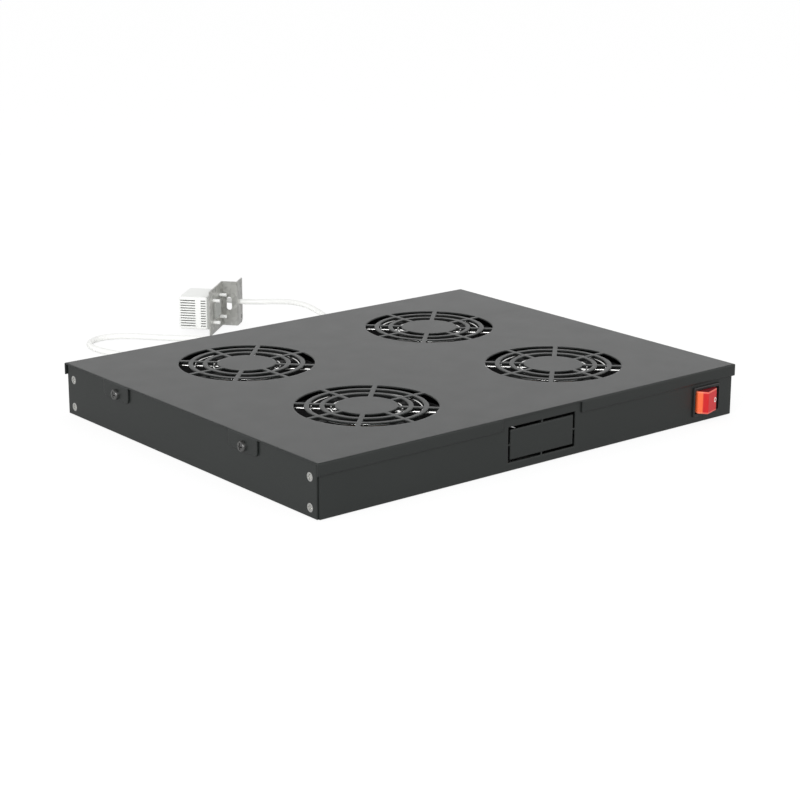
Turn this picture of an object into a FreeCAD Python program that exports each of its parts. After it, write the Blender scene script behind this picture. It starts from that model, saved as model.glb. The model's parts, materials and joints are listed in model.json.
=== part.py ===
"""Rack fan tray: a one-unit sheet-metal tray with four axial fans, a lit rocker switch and a
thermostat on a lead. Millimetres, +Z up, origin at the centre of the tray's underside, +X to the
right along the front wall and +Y towards the rear wall."""

import FreeCAD, Part
import math
import os
import re

import Sketcher
from FreeCAD import Placement, Rotation, Vector

doc = FreeCAD.newDocument("RackFanTray")
sheet = doc.addObject("Spreadsheet::Sheet", "Sizes")

DRIVING_SIZES = [
    # casing
    ("tray_width", 442, "lid, side to side"),
    ("tray_depth", 357, "lid, front to rear"),
    ("tray_height", 44, "one rack unit"),
    ("lid_sheet", 1.0, "lid gauge"),
    ("pan_sheet", 1.2, "pan and side plate gauge"),
    ("sheet_fit", 0.3, "clearance under a folded lid flange"),
    ("flange_drop", 10, "depth of the lid's front and rear flanges"),
    ("notch_width", 84, "gap in the lid's front flange"),
    ("bend_radius", 1.6, "outer radius of a fold"),
    ("pan_fold", 0.96, "rounding along the pan's lower edges"),
    ("lid_fold", 0.8, "rounding along the lid's upper edges"),
    ("tab_width", 38, "lid tab along the side"),
    ("tab_drop", 14, "lid tab, top to bottom"),
    ("tab_corner", 3.5, "rounded lower corners of a tab"),
    ("tab_front_place", -84, "front tab's centre"),
    ("tab_rear_place", 97, "rear tab's centre"),
    ("tab_screw_drop", 9.7, "tab screw below the lid's top"),
    ("seam_set_back", 1.6, "side plate's end behind the wall face"),
    ("end_flange", 22, "pan's folded end flange"),
    ("side_lip", 9, "pan's upturned side lip"),
    ("stiffener_width", 10, "side plate's folded top edge"),
    ("corner_screw_inset", 10.5, "side screw from the wall face"),
    ("corner_screw_low", 7.4, "lower side screw's height"),
    ("corner_screw_rise", 23.6, "between a corner's two side screws"),
    # vents and fans
    ("fan_pitch_across", 201, "fan centres, side to side"),
    ("fan_pitch_along", 164, "fan centres, front to rear"),
    ("vent_disc", 25, "plain disc in the middle of a vent, radius"),
    ("vent_slot", 8.2, "width of a ring of slots"),
    ("vent_rib", 4, "rib between rings, and each spoke"),
    ("fan_size", 119.6, "fan frame, square"),
    ("fan_height", 38, "fan frame, top to bottom"),
    ("fan_corner", 6, "fan frame's corner radius"),
    ("fan_bore", 57.2, "air passage radius"),
    ("fan_flange", 5, "thickness of the frame's end flanges"),
    ("fan_waist", 59.0, "barrel's outer radius between the flanges"),
    ("fan_hole_pitch", 104.8, "mounting holes, centre to centre"),
    ("fan_hole", 2.2, "mounting hole radius"),
    ("motor_radius", 30, "motor carrier disc radius"),
    ("motor_plate", 3, "motor carrier disc thickness"),
    ("strut_width", 7, "arm between the motor and the frame"),
    ("strut_depth", 4, "arm's thickness"),
    ("strut_seat", 0.8, "arm let into the barrel"),
    ("hub_radius", 29, "rotor cup radius"),
    ("hub_height", 27, "rotor cup height"),
    ("hub_wall", 2, "rotor cup wall"),
    ("hub_gap", 1.0, "rotor cup below the arms"),
    ("hub_bevel", 2, "bevel round the cup's floor"),
    ("blade_sweep", 55.6, "blade tip radius"),
    ("blade_root_chord", 27, "blade width at the hub"),
    ("blade_tip_chord", 40, "blade width at the tip"),
    ("blade_thickness", 1.8, "blade gauge"),
    ("blade_seat", 0.3, "blade let into the cup's wall"),
    ("blade_drop", 1, "blades' middle below the cup's"),
    ("blade_spare", 1, "blade drawn past the bore before it is trimmed"),
    ("blade_root_pitch", 44, "blade angle at the hub, degrees"),
    ("blade_tip_pitch", 29, "blade angle at the tip, degrees"),
    ("shaft_radius", 2, "fan shaft"),
    ("shaft_play", 0.05, "running clearance of a shaft"),
    ("tube_wall", 3, "bearing tube wall"),
    ("tube_foot", 2, "bearing tube below the winding pack"),
    ("bearing_relief", 1, "bearing bore into the motor carrier"),
    ("stator_radius", 25.4, "stator winding pack radius"),
    ("stator_height", 19, "stator winding pack height"),
    ("winding_inset", 4, "winding heads inside the pack's outline"),
    ("winding_head", 5, "height of each winding head"),
    ("wire_gauge", 1.6, "finger guard wire"),
    ("guard_small", 13, "innermost guard ring, mean radius"),
    ("guard_middle", 28.5, "middle guard ring, mean radius"),
    ("guard_large", 44.5, "outer guard ring, mean radius"),
    ("guard_eye", 4.2, "guard eyelet, outer radius"),
    ("guard_eye_reach", 2.856, "leg's end from its eyelet's centre, each way"),
    ("guard_weld", 0.1, "rings sunk into the legs"),
    # fasteners
    ("guard_screw_head", 3.9, "guard screw head radius"),
    ("guard_screw_crown", 3.12, "guard screw head at its top, radius"),
    ("guard_screw_rise", 1.7, "guard screw head height"),
    ("guard_screw_reach", 13, "guard screw below the guard"),
    ("mount_screw_reach", 12, "fan mounting screw in the pan"),
    ("side_screw_head", 3.6, "countersunk head radius"),
    ("side_screw_reach", 8, "side screw length"),
    ("screw_shank", 1.9, "shank radius"),
    ("screw_play", 0.2, "clearance round a shank"),
    ("head_gap", 0.05, "countersunk head to its sink, and leads off the floor"),
    ("lid_screw_head", 4.5, "tab screw head radius"),
    ("lid_screw_crown", 3.24, "tab screw head at its top, radius"),
    ("lid_screw_rise", 2.8, "tab screw head height"),
    ("earth_place", 30, "earth stud from the middle"),
    ("earth_along", 162, "earth stud behind the middle"),
    # front wall
    ("knockout_width", 71.4, "outside of the slot, side to side"),
    ("knockout_height", 29, "outside of the slot, top to bottom"),
    ("knockout_slot", 2.4, "width of the slot"),
    ("knockout_link", 1.2, "micro joint left in each side"),
    ("knockout_level", 21.5, "centre height"),
    ("switch_place", 187, "switch centre from the tray's middle"),
    ("switch_level", 18.5, "switch centre height"),
    ("bezel_width", 31, "switch bezel, side to side"),
    ("bezel_height", 25.5, "switch bezel, top to bottom"),
    ("bezel_rise", 2, "switch bezel thickness"),
    ("bezel_edge", 1, "bezel's rounded front edge"),
    ("switch_body_width", 28, "switch body, side to side"),
    ("switch_body_height", 22, "switch body, top to bottom"),
    ("switch_body_depth", 22, "switch body behind the panel"),
    ("rocker_length", 24.4, "rocker, end to end"),
    ("rocker_height", 19.4, "rocker, top to bottom"),
    ("rocker_play", 0.35, "rocker to bezel"),
    ("rocker_tilt", 10, "each way from the middle, degrees"),
    ("rocker_crown", 4.6, "rocker's valley in front of its pivot"),
    ("rocker_heel", 0.5, "rocker's end faces, in front of its pivot"),
    ("rocker_back", 2.6, "rocker behind its pivot"),
    ("rocker_back_length", 14.64, "flat at the rocker's back"),
    ("rocker_well", 12, "depth of the well behind the bezel"),
    ("well_wall", 0.8, "side of the well"),
    ("pivot_radius", 1.5, "rocker's pivot pin"),
    ("pivot_seat", 0.6, "pivot pin in each side of the housing"),
    ("pivot_back", 1.8, "pivot behind the wall's face"),
    ("lamp_radius", 2, "neon lamp in the well"),
    ("lamp_length", 10, "neon lamp, end to end"),
    ("lamp_gap", 0.1, "neon lamp off the well's floor"),
    ("terminal_width", 6.3, "push-on blade width"),
    ("terminal_sheet", 0.8, "push-on blade thickness"),
    ("terminal_reach", 8, "push-on blade behind the switch"),
    ("terminal_spread", 14, "blades, side to side"),
    ("terminal_rise", 10, "between the two rows of blades"),
    # earth and terminal strip
    ("earth_reach", 12, "earth stud, top to bottom"),
    ("earth_nut", 3.8, "earth nut across its corners, radius"),
    ("earth_nut_height", 3.04, "earth nut, top to bottom"),
    ("block_place", 0, "terminal strip from the middle"),
    ("block_along", 128, "terminal strip behind the middle"),
    ("block_pitch", 8, "between terminals"),
    ("block_depth", 16, "terminal strip, front to rear"),
    ("block_height", 12, "terminal strip height"),
    ("block_step", 7.2, "terminal strip's wide lower part"),
    ("block_screw_depth", 6, "terminal screw hole"),
    ("block_screw_length", 4.2, "terminal screw"),
    ("block_hole", 2, "terminal screw hole radius"),
    # leads
    ("lead_diameter", 5.6, "mains lead"),
    ("sensor_lead_diameter", 5.2, "thermostat lead"),
    ("bushing_radius", 7.5, "bushing flange radius"),
    ("bushing_neck", 5.6, "bushing radius in the wall"),
    ("bushing_nut", 4, "nut inside the wall, thickness"),
    ("bushing_nut_radius", 6.5, "nut inside the wall"),
    ("bushing_flange", 2, "flange outside the wall, thickness"),
    ("bushing_shoulder", 4, "bend relief's start outside the wall"),
    ("bushing_tip", 4.0, "bend relief radius at its tip"),
    ("bushing_reach", 26, "bend relief outside the wall"),
    ("bushing_level", 14, "bushing centre height"),
    ("mains_place", 4, "mains bushing from the middle"),
    ("sensor_place", 186, "thermostat bushing from the middle"),
    ("coil_across", 72, "coiled mains lead, X of its centre"),
    ("coil_along", 223.5, "coiled mains lead, Y of its centre"),
    ("coil_radius", 33.1, "mean radius of the coil"),
    ("coil_rows", 3, "turns side by side in the coil"),
    ("coil_layers", 2, "turns on top of each other"),
    ("plug_across", 120.2, "plug's cord end, X"),
    ("plug_along", 233.5, "plug's cord end, Y"),
    ("plug_turn", -45, "plug's direction about Z, degrees"),
    ("plug_relief", 14, "plug's bend relief"),
    ("plug_relief_radius", 6.6, "bend relief's foot on the plug body"),
    ("plug_length", 42, "plug body"),
    ("plug_shoulder", 14.7, "tapered part of the plug body"),
    ("plug_neck", 16.2, "plug body's width at its bend relief"),
    ("plug_width", 27, "plug body, side to side"),
    ("plug_height", 20, "plug body, top to bottom"),
    ("plug_wall", 2, "plug shroud wall"),
    ("plug_mouth", 17, "depth of the plug's shroud"),
    ("pin_pitch", 7, "between the outer pins and the middle one"),
    ("pin_drop", 4, "middle pin off the line of the others"),
    ("pin_width", 2, "pin across the row"),
    ("pin_height", 4, "pin along its tall side"),
    ("pin_reach", 14.5, "pin in front of the shroud's floor"),
    # thermostat
    ("bracket_sheet", 1.2, "bracket gauge"),
    ("bracket_height", 44.4, "bracket, top to bottom"),
    ("bracket_plate", 48, "plate that carries the thermostat"),
    ("bracket_step", 16.5, "middle plate"),
    ("bracket_flange", 18.5, "fixing flange"),
    ("bracket_turn", 41, "bracket's turn about Z, degrees"),
    ("bracket_across", 56.7, "bracket's fold, X"),
    ("bracket_along", 350.4, "bracket's fold, Y"),
    ("bracket_hole", 2.2, "fixing hole radius"),
    ("bracket_hole_rise", 32, "between the fixing holes"),
    ("grommet_place", 9, "lead hole from the fold"),
    ("grommet_play", 0.6, "lead to the edge of its hole"),
    ("bracket_hole_place", 13.5, "fixing holes from the fold"),
    ("bracket_corner", 3, "bevelled lower corner of the flange"),
    ("bracket_fold", 0.96, "rounding outside a bracket fold"),
    ("keyhole_place", 8, "keyhole from the plate"),
    ("keyhole_reach", 3.9, "half the keyhole's straight length"),
    ("keyhole_radius", 2.7, "keyhole, half its width"),
    ("case_setback", 7.5, "thermostat case from the fold"),
    ("case_rise", 6.1, "thermostat case above the bracket's foot"),
    ("case_length", 40, "thermostat case along its plate"),
    ("case_depth", 30.5, "thermostat case, plate to dial face"),
    ("case_height", 32.2, "thermostat case, top to bottom"),
    ("case_wall", 1.6, "thermostat case wall"),
    ("case_edge", 2.08, "case's rounded edges"),
    ("case_vent", 1.1, "case vent slot height"),
    ("case_vent_pitch", 2.5, "between case vent slots"),
    ("case_vent_front", 15, "front vent slots, length"),
    ("case_vent_rear", 5, "rear vent slots, length"),
    ("base_sheet", 2, "thermostat base plate"),
    ("base_margin", 0.5, "base plate inside the case's outline"),
    ("base_boss", 1.8, "base's boss through the bracket"),
    ("boss_length", 20.5, "boss along the plate"),
    ("boss_height", 15.6, "boss, top to bottom"),
    ("peg_place", 23.75, "middle of the pegs from the fold"),
    ("peg_across", 25.5, "between peg columns"),
    ("peg_rise", 21.8, "between peg rows"),
    ("peg_radius", 1.65, "peg radius"),
    ("peg_reach", 6.5, "peg beyond the bracket"),
    ("dial_radius", 8.5, "dial radius"),
    ("dial_rise", 2.8, "dial in front of the case"),
    ("dial_side", 1.54, "dial's rim in front of the case"),
    ("dial_slope", 2.52, "dial's bevel ends, in front of the case"),
    ("dial_bevel", 1.7, "dial's bevel, across"),
    ("dial_flat", 4.25, "flat in the middle of the dial, radius"),
    ("dial_gap", 0.3, "dial to case"),
    ("dial_shaft", 2, "dial's shaft radius"),
    ("dial_shaft_reach", 9, "dial's shaft behind the case's face"),
    ("block_inset", 6, "thermostat switch block inside the case's walls"),
]

for row, (alias, value, note) in enumerate(DRIVING_SIZES, start=1):
    sheet.set(f"A{row}", alias)
    sheet.set(f"B{row}", str(value))
    sheet.set(f"C{row}", note)
    sheet.setAlias(f"B{row}", alias)
doc.recompute()

VENT_SPOKES = 8
CASE_VENTS = 11
BLADES = 5
TERMINALS = 6
TWO_WAYS = (-1, 1)
ARC_SHARE = 0.45

ALIASES = {alias for alias, value, note in DRIVING_SIZES}


def size(alias):
    """A driving size as a number."""
    return float(sheet.get(alias))


def worked_out(text):
    """An expression's value, where a sketch's geometry starts before it is solved."""
    return float(sheet.evalExpression(text))


def linked(text):
    """The same expression as another object writes it, with the sheet's name before each alias."""
    words = re.split(r"([a-z_]+)", text)
    return "".join(f"Sizes.{word}" if word in ALIASES else word for word in words)


def bind(thing, **settings):
    """Ties properties to expressions over the sheet; an underscore pair stands for a dot."""
    for name, text in settings.items():
        thing.setExpression(name.replace("__", "."), linked(text))


def new_body(name):
    body = doc.addObject("PartDesign::Body", name)
    body.Label = name
    return body


def new_sketch(body, name, plane, across="0", along="0", lift="0"):
    """A sketch on one of the body's origin planes, moved along the plane and off it."""
    drawing = body.newObject("Sketcher::SketchObject", name)
    found = [part for part in body.Origin.OriginFeatures if part.Role == plane]
    drawing.AttachmentSupport = [(found[0], "")]
    drawing.MapMode = "FlatFace"
    for letter, text in zip("xyz", (across, along, lift)):
        drawing.setExpression(f"AttachmentOffset.Base.{letter}", linked(text))
    return drawing


def fix(drawing, kind, text, *geometry):
    """A dimension whose value follows an expression."""
    number = drawing.addConstraint(Sketcher.Constraint(kind, *geometry, worked_out(text)))
    drawing.setExpression(f"Constraints[{number}]", linked(text))


def fix_point(drawing, line, end, across, along):
    fix(drawing, "DistanceX", across, -1, 1, line, end)
    fix(drawing, "DistanceY", along, -1, 1, line, end)


def polygon(drawing, points):
    """A closed outline of straight lines through points given as expressions."""
    first = drawing.GeometryCount
    count = len(points)
    ends = [Vector(worked_out(across), worked_out(along), 0) for across, along in points]
    for number in range(count):
        drawing.addGeometry(Part.LineSegment(ends[number], ends[(number + 1) % count]))
    for number in range(count):
        after = first + (number + 1) % count
        drawing.addConstraint(Sketcher.Constraint("Coincident", first + number, 2, after, 1))
    for number, (across, along) in enumerate(points):
        fix_point(drawing, first + number, 1, across, along)


def rectangle(drawing, left, right, low, high):
    polygon(drawing, [(left, low), (right, low), (right, high), (left, high)])


def circle(drawing, radius, across="0", along="0"):
    centre = Vector(worked_out(across), worked_out(along), 0)
    number = drawing.addGeometry(Part.Circle(centre, Vector(0, 0, 1), worked_out(radius)))
    fix(drawing, "Radius", radius, number)
    fix_point(drawing, number, 3, across, along)


def ring_segment(drawing, inner, outer, rib, spokes):
    """One slot of a ring: two arcs about the sketch's origin and two sides parallel to the
    spokes that they leave a half rib's width beside."""
    turn = f"(360/{spokes})"
    half = f"({rib}/2)"
    starts = {}
    for name, radius in (("inner", inner), ("outer", outer)):
        reach = f"sqrt(({radius})^2-{half}^2)"
        far = f"({reach}*cos({turn})+{half}*sin({turn}))"
        rise = f"({reach}*sin({turn})-{half}*cos({turn}))"
        starts[name] = (reach, far, rise)
    near_in = Vector(worked_out(starts["inner"][0]), worked_out(half), 0)
    near_out = Vector(worked_out(starts["outer"][0]), worked_out(half), 0)
    far_in = Vector(worked_out(starts["inner"][1]), worked_out(starts["inner"][2]), 0)
    far_out = Vector(worked_out(starts["outer"][1]), worked_out(starts["outer"][2]), 0)
    upright = Vector(0, 0, 1)
    arcs = []
    for near, far, radius in ((near_in, far_in, inner), (near_out, far_out, outer)):
        whole = Part.Circle(Vector(0, 0, 0), upright, worked_out(radius))
        first, last = math.atan2(near.y, near.x), math.atan2(far.y, far.x)
        arcs.append(drawing.addGeometry(Part.ArcOfCircle(whole, first, last)))
    near_side = drawing.addGeometry(Part.LineSegment(near_in, near_out))
    far_side = drawing.addGeometry(Part.LineSegment(far_in, far_out))
    for arc, end in zip(arcs, (1, 2)):
        drawing.addConstraint(Sketcher.Constraint("Coincident", arc, 3, -1, 1))
        drawing.addConstraint(Sketcher.Constraint("Coincident", arc, 1, near_side, end))
        drawing.addConstraint(Sketcher.Constraint("Coincident", arc, 2, far_side, end))
    for end, name in ((1, "inner"), (2, "outer")):
        fix_point(drawing, near_side, end, starts[name][0], half)
        fix(drawing, "DistanceX", starts[name][1], -1, 1, far_side, end)


def obround(drawing, across, along, reach, radius):
    """An upright slot with round ends, reach being half the distance between their centres."""
    centre = Vector(worked_out(across), worked_out(along), 0)
    tall, wide = worked_out(reach), worked_out(radius)
    upright = Vector(0, 0, 1)
    high = Part.Circle(centre + Vector(0, tall, 0), upright, wide)
    low = Part.Circle(centre - Vector(0, tall, 0), upright, wide)
    top = drawing.addGeometry(Part.ArcOfCircle(high, 0, math.pi))
    base = drawing.addGeometry(Part.ArcOfCircle(low, math.pi, 2 * math.pi))
    sides = []
    for way in TWO_WAYS:
        foot = centre + Vector(way * wide, -tall, 0)
        sides.append(drawing.addGeometry(Part.LineSegment(foot, foot + Vector(0, 2 * tall, 0))))
    for arc, end, order in ((top, 2, (2, 1)), (base, 1, (1, 2))):
        for side, arc_end in zip(sides, order):
            drawing.addConstraint(Sketcher.Constraint("Coincident", arc, arc_end, side, end))
    fix_point(drawing, top, 3, across, f"{along}+{reach}")
    fix_point(drawing, base, 3, across, f"{along}-({reach})")
    fix(drawing, "Radius", radius, top)
    drawing.addConstraint(Sketcher.Constraint("Horizontal", top, 1, top, 2))
    drawing.addConstraint(Sketcher.Constraint("Vertical", sides[0]))


def pad(drawing, length, reverse=False, both_ways=False):
    body = drawing.getParentGeoFeatureGroup()
    feature = body.newObject("PartDesign::Pad", drawing.Name + "_pad")
    feature.Profile = drawing
    feature.Reversed = reverse
    feature.SideType = "Symmetric" if both_ways else "One side"
    bind(feature, Length=length)
    return feature


def pocket(drawing, length=None, reverse=False, both_ways=False, taper=None):
    """Cuts against the sketch's normal, or along it when reversed; no length cuts through."""
    body = drawing.getParentGeoFeatureGroup()
    feature = body.newObject("PartDesign::Pocket", drawing.Name + "_cut")
    feature.Profile = drawing
    feature.Reversed = reverse
    feature.SideType = "Symmetric" if both_ways else "One side"
    if length is None:
        feature.Type = "ThroughAll"
    else:
        bind(feature, Length=length)
    if taper is not None:
        bind(feature, TaperAngle=taper)
    return feature


def revolution(drawing, axis="V_Axis"):
    body = drawing.getParentGeoFeatureGroup()
    feature = body.newObject("PartDesign::Revolution", drawing.Name + "_turn")
    feature.Profile = drawing
    feature.ReferenceAxis = (drawing, [axis])
    feature.Angle = 360
    return feature


def repeat_round(feature, drawing, count):
    body = drawing.getParentGeoFeatureGroup()
    ring = body.newObject("PartDesign::PolarPattern", feature.Name + "_ring")
    ring.Originals = [feature]
    ring.Axis = (drawing, ["N_Axis"])
    ring.Angle = 360
    ring.Occurrences = count
    body.Tip = ring
    return ring


def repeat_along(feature, drawing, axis, length, count):
    body = drawing.getParentGeoFeatureGroup()
    row = body.newObject("PartDesign::LinearPattern", feature.Name + "_row")
    row.Originals = [feature]
    row.Direction = (drawing, [axis])
    row.Occurrences = count
    bind(row, Length=length)
    body.Tip = row
    return row


def edges_where(feature, test, direction=None):
    """Names of the straight edges whose two ends both pass the test, in one direction if given."""
    doc.recompute()
    names = []
    for number, edge in enumerate(feature.Shape.Edges, start=1):
        if not isinstance(edge.Curve, Part.Line):
            continue
        askew = direction and edge.Curve.Direction.cross(direction).Length > 0.01
        if not askew and all(test(end.Point) for end in edge.Vertexes):
            names.append(f"Edge{number}")
    return names


def round_edges(feature, radius, test, direction=None):
    """A fillet over the edges that pass the test."""
    body = feature.getParentGeoFeatureGroup()
    fillet = body.newObject("PartDesign::Fillet", feature.Name + "_round")
    fillet.Base = (feature, edges_where(feature, test, direction))
    bind(fillet, Radius=radius)
    body.Tip = fillet
    return fillet


def primitive(kind, name, across="0", along="0", lift="0", turn=None, **settings):
    """A Part primitive; turn is an axis and an angle."""
    thing = doc.addObject(f"Part::{kind}", name)
    if turn:
        thing.Placement = Placement(Vector(0, 0, 0), Rotation(*turn))
    bind(thing, **settings)
    for letter, text in zip("xyz", (across, along, lift)):
        thing.setExpression(f"Placement.Base.{letter}", linked(text))
    return thing


def fused(name, pieces):
    join = doc.addObject("Part::MultiFuse", name)
    join.Shapes = pieces
    return join


def group(name, pieces):
    """Separate solids of one kind under one name."""
    several = doc.addObject("Part::Compound", name)
    several.Links = pieces
    several.Label = name
    return several


# Places that several pieces share, as expressions over the sheet.
LID_UNDER = "(tray_height-lid_sheet)"
WALL_FACE = "(tray_depth/2-lid_sheet-sheet_fit)"
SIDE_FACE = "(tray_width/2-lid_sheet-sheet_fit)"
PAN_END = "(tray_width/2-lid_sheet-sheet_fit-pan_sheet)"
FAN_TOP = "(pan_sheet+fan_height)"
GUARD_TOP = "(pan_sheet+fan_height+wire_gauge)"
SINK_ANGLE = "-atan((side_screw_head-screw_shank-2*head_gap)/(pan_sheet-head_gap))"
TAB_SCREW_LEVEL = "(tray_height-tab_screw_drop)"
TAB_PLACES = ("tab_front_place", "tab_rear_place")
FAN_PLACES = [(f"({x})*fan_pitch_across/2", f"({y})*fan_pitch_along/2")
              for y in TWO_WAYS for x in TWO_WAYS]
SIDE_HOLE_PLACES = [(f"({way})*({WALL_FACE}-corner_screw_inset)", level)
                    for way in TWO_WAYS
                    for level in ("corner_screw_low", "corner_screw_low+corner_screw_rise")]
NODES = []


def keep(thing):
    """Marks an object as a finished sub-part."""
    NODES.append(thing)
    return thing


# ---------------------------------------------------------------- casing


def make_lid():
    body = new_body("lid")
    width, depth = "tray_width/2", "tray_depth/2"
    top = new_sketch(body, "lid_top", "XY_Plane", lift=LID_UNDER)
    rectangle(top, f"-{width}", width, f"-{depth}", depth)
    pad(top, "lid_sheet")
    low = "tray_height-flange_drop"
    front = new_sketch(body, "lid_front_flange", "XZ_Plane", lift=f"{depth}-lid_sheet")
    rectangle(front, f"-{width}", "-notch_width/2", low, "tray_height")
    rectangle(front, "notch_width/2", width, low, "tray_height")
    pad(front, "lid_sheet")
    rear = new_sketch(body, "lid_rear_flange", "XZ_Plane", lift=f"-{depth}")
    rectangle(rear, f"-{width}", width, low, "tray_height")
    last = pad(rear, "lid_sheet")
    for side, lift in (("left", f"-{width}"), ("right", f"{width}-lid_sheet")):
        tabs = new_sketch(body, f"lid_{side}_tabs", "YZ_Plane", lift=lift)
        for place in TAB_PLACES:
            rectangle(tabs, f"{place}-tab_width/2", f"{place}+tab_width/2",
                      "tray_height-tab_drop", "tray_height")
        last = pad(tabs, "lid_sheet")
    foot = size("tray_height") - size("tab_drop")
    last = round_edges(last, "tab_corner", lambda end: abs(end.z - foot) < 0.01, Vector(1, 0, 0))
    top_level = size("tray_height")
    last = round_edges(last, "lid_fold", lambda end: abs(end.z - top_level) < 0.01)
    holes = new_sketch(body, "lid_tab_holes", "YZ_Plane")
    for place in TAB_PLACES:
        circle(holes, "screw_shank+screw_play", place, TAB_SCREW_LEVEL)
    pocket(holes, both_ways=True)
    for number, (across, along) in enumerate(FAN_PLACES, start=1):
        vent = new_sketch(body, f"lid_vent_{number}", "XY_Plane", across, along, "tray_height")
        for ring in range(3):
            inner = f"(vent_disc+{ring}*(vent_slot+vent_rib))"
            ring_segment(vent, inner, f"({inner}+vent_slot)", "vent_rib", VENT_SPOKES)
        cut = pocket(vent)
        repeat_round(cut, vent, VENT_SPOKES)
    return keep(body)


def make_pan():
    body = new_body("base_pan")
    face = WALL_FACE
    inner = f"({WALL_FACE}-pan_sheet)"
    channel = new_sketch(body, "pan_channel", "YZ_Plane")
    polygon(channel, [(f"-{face}", "0"), (face, "0"), (face, LID_UNDER), (inner, LID_UNDER),
                      (inner, "pan_sheet"), (f"-{inner}", "pan_sheet"),
                      (f"-{inner}", LID_UNDER), (f"-{face}", LID_UNDER)])
    pad(channel, f"2*{PAN_END}", both_ways=True)
    lips = new_sketch(body, "pan_lips", "XY_Plane")
    flanges = new_sketch(body, "pan_end_flanges", "XY_Plane", lift="bend_radius")
    lip_end = f"({WALL_FACE}-end_flange-bend_radius*3)"
    for way in TWO_WAYS:
        if way < 0:
            left, right = f"-{PAN_END}", f"-({PAN_END}-pan_sheet)"
        else:
            left, right = f"{PAN_END}-pan_sheet", PAN_END
        rectangle(lips, left, right, f"-{lip_end}", lip_end)
        rectangle(flanges, left, right, f"-({WALL_FACE}-pan_sheet/2)", f"-({WALL_FACE}-end_flange)")
        rectangle(flanges, left, right, f"{WALL_FACE}-end_flange", f"{WALL_FACE}-pan_sheet/2")
    pad(lips, "side_lip")
    last = pad(flanges, f"{LID_UNDER}-bend_radius*1.5")
    wall, under = worked_out(face), 0.0
    last = round_edges(last, "pan_fold",
                       lambda end: abs(abs(end.y) - wall) < 0.01 and abs(end.z - under) < 0.01)
    openings = new_sketch(body, "pan_openings", "XY_Plane", lift="pan_sheet")
    for across, along in FAN_PLACES:
        circle(openings, "fan_bore", across, along)
    pocket(openings, "pan_sheet")
    screws = new_sketch(body, "pan_fan_screw_holes", "XY_Plane")
    for across, along in FAN_PLACES:
        for x in TWO_WAYS:
            for y in TWO_WAYS:
                circle(screws, "side_screw_head", f"{across}+({x})*fan_hole_pitch/2",
                       f"{along}+({y})*fan_hole_pitch/2")
    pocket(screws, "pan_sheet", reverse=True, taper=SINK_ANGLE)
    stud = new_sketch(body, "pan_earth_hole", "XY_Plane", lift="pan_sheet")
    circle(stud, "screw_shank+screw_play", "earth_place", "earth_along")
    pocket(stud, "pan_sheet")
    front = new_sketch(body, "pan_front_cuts", "XZ_Plane", lift=face)
    for across in TWO_WAYS:
        for along in TWO_WAYS:
            knockout_corner(front, across, along)
    half_wide = "(switch_body_width/2+screw_play)"
    half_tall = "(switch_body_height/2+screw_play)"
    rectangle(front, f"switch_place-{half_wide}", f"switch_place+{half_wide}",
              f"switch_level-{half_tall}", f"switch_level+{half_tall}")
    pocket(front, "pan_sheet")
    rear = new_sketch(body, "pan_rear_cuts", "XZ_Plane", lift=f"-{inner}")
    for place in ("mains_place", "sensor_place"):
        circle(rear, "bushing_neck+shaft_play", place, "bushing_level")
    pocket(rear, "pan_sheet")
    for side, lift, way in (("left", f"-{PAN_END}", True), ("right", PAN_END, False)):
        holes = new_sketch(body, f"pan_{side}_holes", "YZ_Plane", lift=lift)
        for place, level in SIDE_HOLE_PLACES:
            circle(holes, "screw_shank+screw_play", place, level)
        pocket(holes, "pan_sheet", reverse=way)
    return keep(body)


def knockout_corner(drawing, across, along):
    """One L-shaped slot of the knock-out, between the micro joints in two of its sides."""
    wide, tall = "knockout_width/2", "knockout_height/2"
    link = "knockout_link/2"
    points = [(link, tall), (wide, tall), (wide, link), (f"{wide}-knockout_slot", link),
              (f"{wide}-knockout_slot", f"{tall}-knockout_slot"), (link, f"{tall}-knockout_slot")]
    placed = [(f"({across})*({x})", f"knockout_level+({along})*({y})") for x, y in points]
    polygon(drawing, placed)


def make_side_plate(side, way):
    """A flat plate with its top edge folded inwards; way is -1 on the left and 1 on the right."""
    body = new_body(f"side_plate_{side}")
    end = f"({WALL_FACE}-seam_set_back)"
    outer, inner = SIDE_FACE, PAN_END
    left = f"-{outer}" if way < 0 else inner
    plate = new_sketch(body, f"{side}_plate", "YZ_Plane", lift=left)
    rectangle(plate, f"-{end}", end, "sheet_fit", LID_UNDER)
    pad(plate, "pan_sheet")
    fold = new_sketch(body, f"{side}_stiffener", "XY_Plane", lift=f"{LID_UNDER}-pan_sheet")
    length = f"({WALL_FACE}-end_flange-bend_radius*3)"
    if way < 0:
        rectangle(fold, f"-{outer}", f"-({inner}-stiffener_width)", f"-{length}", length)
    else:
        rectangle(fold, f"{inner}-stiffener_width", outer, f"-{length}", length)
    pad(fold, "pan_sheet")
    face = f"-{outer}" if way < 0 else outer
    sinks = new_sketch(body, f"{side}_countersinks", "YZ_Plane", lift=face)
    for place, level in SIDE_HOLE_PLACES:
        circle(sinks, "side_screw_head", place, level)
    pocket(sinks, "pan_sheet", reverse=way < 0, taper=SINK_ANGLE)
    holes = new_sketch(body, f"{side}_tab_holes", "YZ_Plane", lift=face)
    for place in TAB_PLACES:
        circle(holes, "screw_shank+screw_play", place, TAB_SCREW_LEVEL)
    pocket(holes, "pan_sheet", reverse=way < 0)
    return keep(body)


# ---------------------------------------------------------------- fasteners

ALONG_X = (Vector(0, 1, 0), 90)
AGAINST_X = (Vector(0, 1, 0), -90)


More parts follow.
